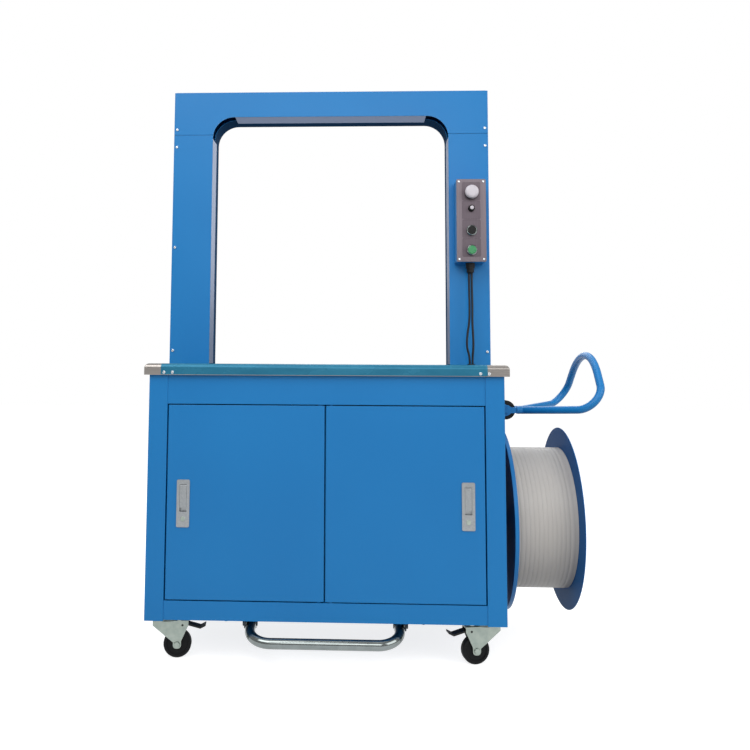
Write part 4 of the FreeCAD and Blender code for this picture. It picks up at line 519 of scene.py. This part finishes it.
def soften(node, edge, segments=2, smooth=35.0, material=None):
    """A copy of a node's form, its facets joined into flat faces and its sharp edges rounded."""
    piece = copy_node(node)
    edit(piece)
    bpy.ops.mesh.select_all(action="SELECT")
    bpy.ops.mesh.dissolve_limited(angle_limit=math.radians(1.0))
    leave_edit()
    apply(piece, "BEVEL", width=edge * MM, segments=segments, limit_method="ANGLE",
          angle_limit=math.radians(40.0), use_clamp_overlap=True)
    apply(piece, "TRIANGULATE", ngon_method="BEAUTY")
    finish_piece(piece, node + "_dressed", BODY_OF[node], SLOT_OF[node], material, smooth)
    apply(piece, "WEIGHTED_NORMAL", weight=50, keep_sharp=True)
    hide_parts(node)
    return piece


for node in ("base_frame", "left_side_panel", "right_side_panel", "front_apron", "rear_panel",
             "control_box"):
    soften(node, 1.0)
for node in ("left_door", "right_door"):
    soften(node, 2.2, 3)
for node in ("reel_flange_inner", "reel_flange_outer"):
    flange = soften(node, 1.0, material=REEL_PAINTED_SHADE)
    # The flanges' flat faces take the darker coat, painted shade; their rims keep the plain blue paint
    flange.data.materials.append(FINISHES["blue_paint"])
    for face in flange.data.polygons:
        face.material_index = int(abs(face.normal.x) < EVEN)
channel = soften("arch_channel", 0.5)
# The channel's inner faces inside the opening take the darker coat, painted shade; the rest keeps the plain
# blue paint
channel.data.materials.append(TRACK_PAINTED_SHADE)
for face in channel.data.polygons:
    inside = abs(face.center.x) < TRACK_SIDE and face.center.z < TRACK_TOP
    face.material_index = int(inside and abs(face.normal.y) < EVEN)
soften("table_top", 1.2)
for node in ("arch_cover_left", "arch_cover_right", "arch_cover_top", "control_faceplate",
             "left_latch_plate", "right_latch_plate", "left_latch_lever", "right_latch_lever", "arm_bracket"):
    soften(node, 0.5)
for node in ("stop_button", "guide_roller", "reel_nut", "castor_wheel_front_left", "castor_wheel_front_right",
             "castor_wheel_rear_left", "castor_wheel_rear_right", "brake_pedal_front_left",
             "brake_pedal_front_right", "foot_bar_brackets", "castor_plates"):
    soften(node, 0.8, 3)
for node in ("castor_fork_front_left", "castor_fork_front_right", "castor_fork_rear_left",
             "castor_fork_rear_right", "black_button", "green_button", "tension_knob", "button_bezels"):
    soften(node, 0.4)


def smooth_tube(node):
    """A copy of a bent tube's form with its facets joined, so that it shades as one round skin."""
    piece = copy_node(node)
    finish_piece(piece, node + "_dressed", BODY_OF[node], SLOT_OF[node], smooth=40.0)
    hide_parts(node)


for node in ("reel_arm", "foot_bar"):
    smooth_tube(node)


# Strap coil
STRAP_WIDTH, STRAP_SHEET = 0.0123, 0.0008
STRAP_BED, STRAP_GAP = 0.00005, 0.0001  # clear of the layer below and of the next turn
DRUM = 0.1004  # radius of the core's bore
TURN_STEPS = 96


def make_strap_coil():
    """The full reel of strap: a core of wound layers under its outer layer, one band without a break."""
    low, high = [Vector(corner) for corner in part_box("strap_coil")]
    middle = (low + high) / 2
    outside, width = (high.z - low.z) / 2, high.x - low.x
    turns = math.floor((width - STRAP_WIDTH) / (STRAP_WIDTH + STRAP_GAP))
    pitch = (width - STRAP_WIDTH) / turns
    centre = (0.0, 0.0, outside - STRAP_SHEET / 2)
    band = begin_piece(bpy.ops.mesh.primitive_plane_add, size=1.0, location=centre,
                       rotation=(math.radians(90.0), 0.0, 0.0))
    edit(band, "VERT")
    bpy.ops.mesh.select_all(action="SELECT")
    bpy.ops.transform.resize(value=(STRAP_WIDTH, 1.0, STRAP_SHEET), center_override=centre)
    bpy.ops.mesh.bevel(offset=STRAP_SHEET * 0.35, segments=2, affect="VERTICES")
    bpy.ops.mesh.select_all(action="SELECT")
    bpy.ops.mesh.delete(type="ONLY_FACE")
    leave_edit()
    apply(band, "SCREW", axis="X", angle=math.tau, screw_offset=pitch, iterations=turns, steps=TURN_STEPS,
          render_steps=TURN_STEPS)
    edit(band)
    bpy.ops.mesh.select_all(action="SELECT")
    bpy.ops.mesh.remove_doubles(threshold=0.00001)
    bpy.ops.mesh.fill_holes(sides=0)
    bpy.ops.mesh.select_all(action="SELECT")
    bpy.ops.mesh.normals_make_consistent(inside=False)
    leave_edit()
    move(band, (low.x + STRAP_WIDTH / 2, middle.y, middle.z))
    core = begin_piece(bpy.ops.mesh.primitive_cylinder_add, vertices=TURN_STEPS, depth=width,
                       radius=outside - STRAP_SHEET - STRAP_BED, location=middle,
                       rotation=(0.0, math.radians(90.0), 0.0))
    edit(core)
    pick(core, lambda place, way: abs(way.x) > 0.9)
    bpy.ops.mesh.inset(thickness=outside - STRAP_SHEET - STRAP_BED - DRUM, use_individual=True)
    bpy.ops.mesh.bridge_edge_loops()
    bpy.ops.mesh.select_all(action="SELECT")
    bpy.ops.mesh.normals_make_consistent(inside=False)
    leave_edit()
    choose(band, core)
    bpy.ops.object.join()
    finish_piece(band, "strap_coil_wound", "reel", "strap_plastic", smooth=50.0)
    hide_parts("strap_coil")


make_strap_coil()


# Screws and bolts
BOLT_WASHER = 0.0008


def make_screw(radius, height):
    """A cross-recessed screw: a domed head that faces the front, its back at the origin."""
    screw = begin_piece(bpy.ops.mesh.primitive_cylinder_add, vertices=24, radius=radius, depth=height,
                        location=(0.0, -height / 2, 0.0), rotation=(math.radians(90.0), 0.0, 0.0))
    edit(screw, "EDGE")
    pick(screw, lambda middle, way: middle.y < -height * 0.9)
    bpy.ops.mesh.bevel(offset=height * 0.6, segments=4)
    leave_edit()
    for across, up in ((radius * 1.1, radius * 0.22), (radius * 0.22, radius * 1.1)):
        slot = begin_piece(bpy.ops.mesh.primitive_cube_add, size=1.0, location=(0.0, -height, 0.0),
                           scale=(across, height * 0.9, up))
        apply(screw, "BOOLEAN", operation="DIFFERENCE", object=slot, solver="EXACT")
        bpy.data.objects.remove(slot)
    return screw


def make_bolt(radius, height):
    """A hexagon bolt head on its washer, seen from below, its seat at the origin."""
    head = begin_piece(bpy.ops.mesh.primitive_cylinder_add, vertices=6, radius=radius, depth=height,
                       location=(0.0, 0.0, -height / 2 - BOLT_WASHER))
    edit(head, "EDGE")
    pick(head, lambda middle, way: middle.z < -height * 0.9)
    bpy.ops.mesh.bevel(offset=height * 0.15, segments=2)
    leave_edit()
    washer = begin_piece(bpy.ops.mesh.primitive_cylinder_add, vertices=24, radius=radius * 1.15,
                         depth=BOLT_WASHER, location=(0.0, 0.0, -BOLT_WASHER / 2))
    edit(washer, "EDGE")
    pick(washer, lambda middle, way: middle.z < -BOLT_WASHER * 0.9)
    bpy.ops.mesh.bevel(offset=BOLT_WASHER * 0.3, segments=2)
    leave_edit()
    choose(head, washer)
    bpy.ops.object.join()
    return head


def place_copies(first, name, places, body, slot, replaced=None):
    """Sets copies of one piece at their places, the first among them."""
    for count, place in enumerate(places, start=1):
        piece = move(twin(first), place)
        finish_piece(piece, "%s_%02d" % (name, count), body, slot)
        if replaced:
            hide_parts(replaced)
    bpy.data.objects.remove(first)


ARCH_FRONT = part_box("arch_cover_left")[0][1]
TABLE_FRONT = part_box("table_top")[0][1]
ARCH_SCREW_X, ARCH_SCREW_Z, MIDDLE_SCREW_Z = 0.475, (1.5215, 1.4665, 0.8365), 1.1525
LIP_SCREW_X, LIP_SCREW_Z = (0.416, 0.439), 0.7735
SCREW_PLACES = [(side * ARCH_SCREW_X, ARCH_FRONT, up) for side in (-1, 1) for up in ARCH_SCREW_Z]
SCREW_PLACES += [(-ARCH_SCREW_X, ARCH_FRONT, MIDDLE_SCREW_Z)]
SCREW_PLACES += [(side * across, TABLE_FRONT, LIP_SCREW_Z) for side in (-1, 1) for across in LIP_SCREW_X]
place_copies(make_screw(0.0042, 0.0026), "cover_screw", SCREW_PLACES, "cabinet", "bright_screws",
             "cover_screws")

PLATE_LOW, PLATE_HIGH = [Vector(corner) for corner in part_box("control_faceplate")]
PLATE_SCREW_INSET = 0.0075
place_copies(make_screw(0.0033, 0.0018), "faceplate_screw",
             [(across, PLATE_LOW.y, up)
              for across in (PLATE_LOW.x + PLATE_SCREW_INSET, PLATE_HIGH.x - PLATE_SCREW_INSET)
              for up in (PLATE_LOW.z + PLATE_SCREW_INSET, PLATE_HIGH.z - PLATE_SCREW_INSET)],
             "cabinet", "bright_screws")

CASTOR_X, CASTOR_Y, CASTOR_BOLT_X, CASTOR_BOLT_Y, CASTOR_BOLT_Z = 0.429, 0.220, 0.036, 0.023, 0.109
place_copies(make_bolt(0.0064, 0.0038), "castor_bolt",
             [(across * CASTOR_X + right * CASTOR_BOLT_X, deep * CASTOR_Y + back * CASTOR_BOLT_Y,
               CASTOR_BOLT_Z)
              for across in (-1, 1) for deep in (-1, 1) for right in (-1, 1) for back in (-1, 1)],
             "cabinet", "zinc_plate")
RAIL_BOLT_X, RAIL_BOLT_Y, RAIL_BOLT_Z = 0.263, -0.262, 0.116
place_copies(make_bolt(0.0055, 0.004), "rail_bolt",
             [(side * RAIL_BOLT_X, RAIL_BOLT_Y, RAIL_BOLT_Z) for side in (-1, 1)], "cabinet", "black_steel")


# Legend plates and knob cap
LEGEND_WIDTH, LEGEND_HEIGHT, LEGEND_SHEET, LEGEND_CORNER, LEGEND_RIM = 0.054, 0.055, 0.0008, 0.004, 0.0014
CONTROL_X = 0.422
CUT_DEPTH = 0.006
# Each plate's height, its hole's height and its hole's radius
LEGENDS = {"stop": (1.310, 1.3056, 0.0158), "knob": (1.254, 1.2586, 0.0108),
           "black": (1.198, 1.1923, 0.0158), "green": (1.142, 1.134, 0.0158)}
CAP_RADIUS, CAP_HEIGHT, CAP_ROUND = 0.0055, 0.0012, 0.0005


def make_legend_plate(name, middle_z, hole_z, hole):
    """A blank aluminium legend plate: round corners, a raised rim and a hole for its button."""
    plate = begin_piece(bpy.ops.mesh.primitive_cube_add, size=1.0,
                        scale=(LEGEND_WIDTH, LEGEND_SHEET, LEGEND_HEIGHT),
                        location=(CONTROL_X, PLATE_LOW.y - LEGEND_SHEET / 2, middle_z))
    edit(plate, "EDGE")
    pick(plate, lambda middle, way: abs(way.y) > 0.9)
    bpy.ops.mesh.bevel(offset=LEGEND_CORNER, segments=5)
    leave_edit()
    edit(plate)
    pick(plate, lambda middle, way: way.y < -0.9)
    bpy.ops.mesh.inset(thickness=LEGEND_RIM)
    bpy.ops.mesh.inset(thickness=LEGEND_SHEET / 4, depth=-LEGEND_SHEET / 3)
    leave_edit()
    cutter = begin_piece(bpy.ops.mesh.primitive_cylinder_add, vertices=48, radius=hole, depth=CUT_DEPTH,
                         location=(CONTROL_X, PLATE_LOW.y, hole_z), rotation=(math.radians(90.0), 0.0, 0.0))
    apply(plate, "BOOLEAN", operation="DIFFERENCE", object=cutter, solver="EXACT")
    bpy.data.objects.remove(cutter)
    finish_piece(plate, "legend_plate_" + name, "cabinet", "brushed_faceplate", LEGEND)


for name, (middle_z, hole_z, hole) in LEGENDS.items():
    make_legend_plate(name, middle_z, hole_z, hole)


def make_knob_cap():
    """The tension knob's pale cap, with a rounded edge."""
    low, high = [Vector(corner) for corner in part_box("tension_knob")]
    cap = begin_piece(bpy.ops.mesh.primitive_cylinder_add, vertices=32, radius=CAP_RADIUS, depth=CAP_HEIGHT,
                      location=(CONTROL_X, low.y - CAP_HEIGHT / 2, LEGENDS["knob"][1]),
                      rotation=(math.radians(90.0), 0.0, 0.0))
    edit(cap, "EDGE")
    pick(cap, lambda middle, way: middle.y < low.y - CAP_HEIGHT * 0.9)
    bpy.ops.mesh.bevel(offset=CAP_ROUND, segments=3)
    leave_edit()
    finish_piece(cap, "knob_cap", BODY_OF["tension_knob"], "white_button")


make_knob_cap()


# Film over the table's front half
FILM_LEFT, FILM_RIGHT, FILM_SHEET, FILM_FOLD = -0.448, 0.435, 0.0003, 0.012
FILM_BACK, FILM_FOOT = 0.004, 0.0015  # short of the arch, and of the lip's lower edge
NEAR = 0.001


def make_film():
    """The film lies on the top from just before the arch and folds down over the rounded front edge."""
    low, high = [Vector(corner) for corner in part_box("table_top")]
    back = ARCH_FRONT - FILM_BACK
    middle = ((FILM_LEFT + FILM_RIGHT) / 2, (low.y + back) / 2, high.z)
    film = begin_piece(bpy.ops.mesh.primitive_plane_add, size=1.0, location=middle)
    edit(film, "VERT")
    bpy.ops.mesh.select_all(action="SELECT")
    bpy.ops.transform.resize(value=(FILM_RIGHT - FILM_LEFT, back - low.y, 1.0), center_override=middle)
    leave_edit()
    edit(film, "EDGE")
    pick(film, lambda middle, way: middle.y < low.y + NEAR)
    drop = (0.0, 0.0, low.z + FILM_FOOT - high.z)
    bpy.ops.mesh.extrude_edges_move(TRANSFORM_OT_translate={"value": drop})
    leave_edit()
    edit(film, "EDGE")
    pick(film, lambda middle, way: middle.y < low.y + NEAR and middle.z > high.z - NEAR)
    bpy.ops.mesh.bevel(offset=FILM_FOLD, segments=8, profile=0.5)
    leave_edit()
    apply(film, "SOLIDIFY", thickness=FILM_SHEET, offset=1.0)
    finish_piece(film, "table_film", "cabinet", "stainless_table", FILM, 60.0)


make_film()


# Studio
FLOOR_HALF, FLOOR_DROP = 12.0, 0.0005  # the floor lies a hair under the wheels


def make_floor():
    """A pale floor that shows white to the camera and keeps the object's shadow."""
    floor = begin_piece(bpy.ops.mesh.primitive_plane_add, size=2 * FLOOR_HALF,
                        location=(0.0, 0.0, -FLOOR_DROP))
    floor.name = "studio_floor"
    material, tree, shader, place = begin("pale_floor")
    cloud = add(tree, "ShaderNodeTexNoise", {"Vector": place}, {"Scale": 0.5})
    tone = add(tree, "ShaderNodeMix", {"Factor": cloud.outputs["Fac"]},
               {6: linear("#a4a4a4"), 7: linear("#a8a8a8")}, data_type="RGBA")
    path = add(tree, "ShaderNodeLightPath")
    seen = add(tree, "ShaderNodeMath",
               {0: path.outputs["Is Camera Ray"], 1: path.outputs["Is Glossy Ray"]}, operation="MAXIMUM")
    shown = add(tree, "ShaderNodeMix", {"Factor": seen.outputs["Value"], 6: tone.outputs[2]},
                {7: linear("#b8b8b8")}, data_type="RGBA")
    lift = add(tree, "ShaderNodeMath", {0: seen.outputs["Value"]}, {1: 0.8}, operation="MULTIPLY")
    wire(tree, shader, {"Base Color": shown.outputs[2], "Emission Strength": lift.outputs["Value"]},
         {"Roughness": 0.9, "Specular IOR Level": 0.0, "Emission Color": (1.0, 1.0, 1.0, 1.0)})
    floor.data.materials.append(material)


def make_world():
    """Even light from all round, and plain white behind the object."""
    world = bpy.data.worlds.new("studio")
    bpy.context.scene.world = world
    world.use_nodes = True
    tree = world.node_tree
    path = add(tree, "ShaderNodeLightPath")
    seen = add(tree, "ShaderNodeMath",
               {0: path.outputs["Is Camera Ray"], 1: path.outputs["Is Transmission Ray"]},
               operation="MAXIMUM")
    strength = add(tree, "ShaderNodeMapRange", {"Value": seen.outputs["Value"]},
                   {"To Min": 0.5, "To Max": 1.0})
    wire(tree, tree.nodes["Background"], {"Strength": strength.outputs["Result"]},
         {"Color": (1.0, 1.0, 1.0, 1.0)})


def make_light(name, place, target, size, power):
    """A large soft lamp that faces a point."""
    lamp = bpy.data.lights.new(name, "AREA")
    lamp.shape, lamp.size, lamp.energy = "SQUARE", size, power
    light = bpy.data.objects.new(name, lamp)
    bpy.context.scene.collection.objects.link(light)
    turn = (Vector(target) - Vector(place)).to_track_quat("-Z", "Y").to_matrix().to_4x4()
    light.matrix_world = Matrix.Translation(place) @ turn


make_floor()
make_world()
make_light("key_light", (-1.5, -2.3, 3.7), (0.0, 0.0, 0.7), 2.4, 80.0)
make_light("fill_light", (2.8, -2.0, 2.2), (0.0, 0.0, 0.8), 2.4, 52.0)
make_light("top_light", (0.0, 0.6, 3.8), (0.0, 0.0, 0.8), 2.4, 30.0)
make_light("arch_light", (0.2, -2.8, 2.0), (0.0, 0.0, 1.15), 1.4, 20.0)
make_light("back_light", (0.6, 3.2, 2.4), (0.0, 0.0, 0.8), 2.4, 35.0)

bpy.context.scene.view_settings.view_transform = "Standard"
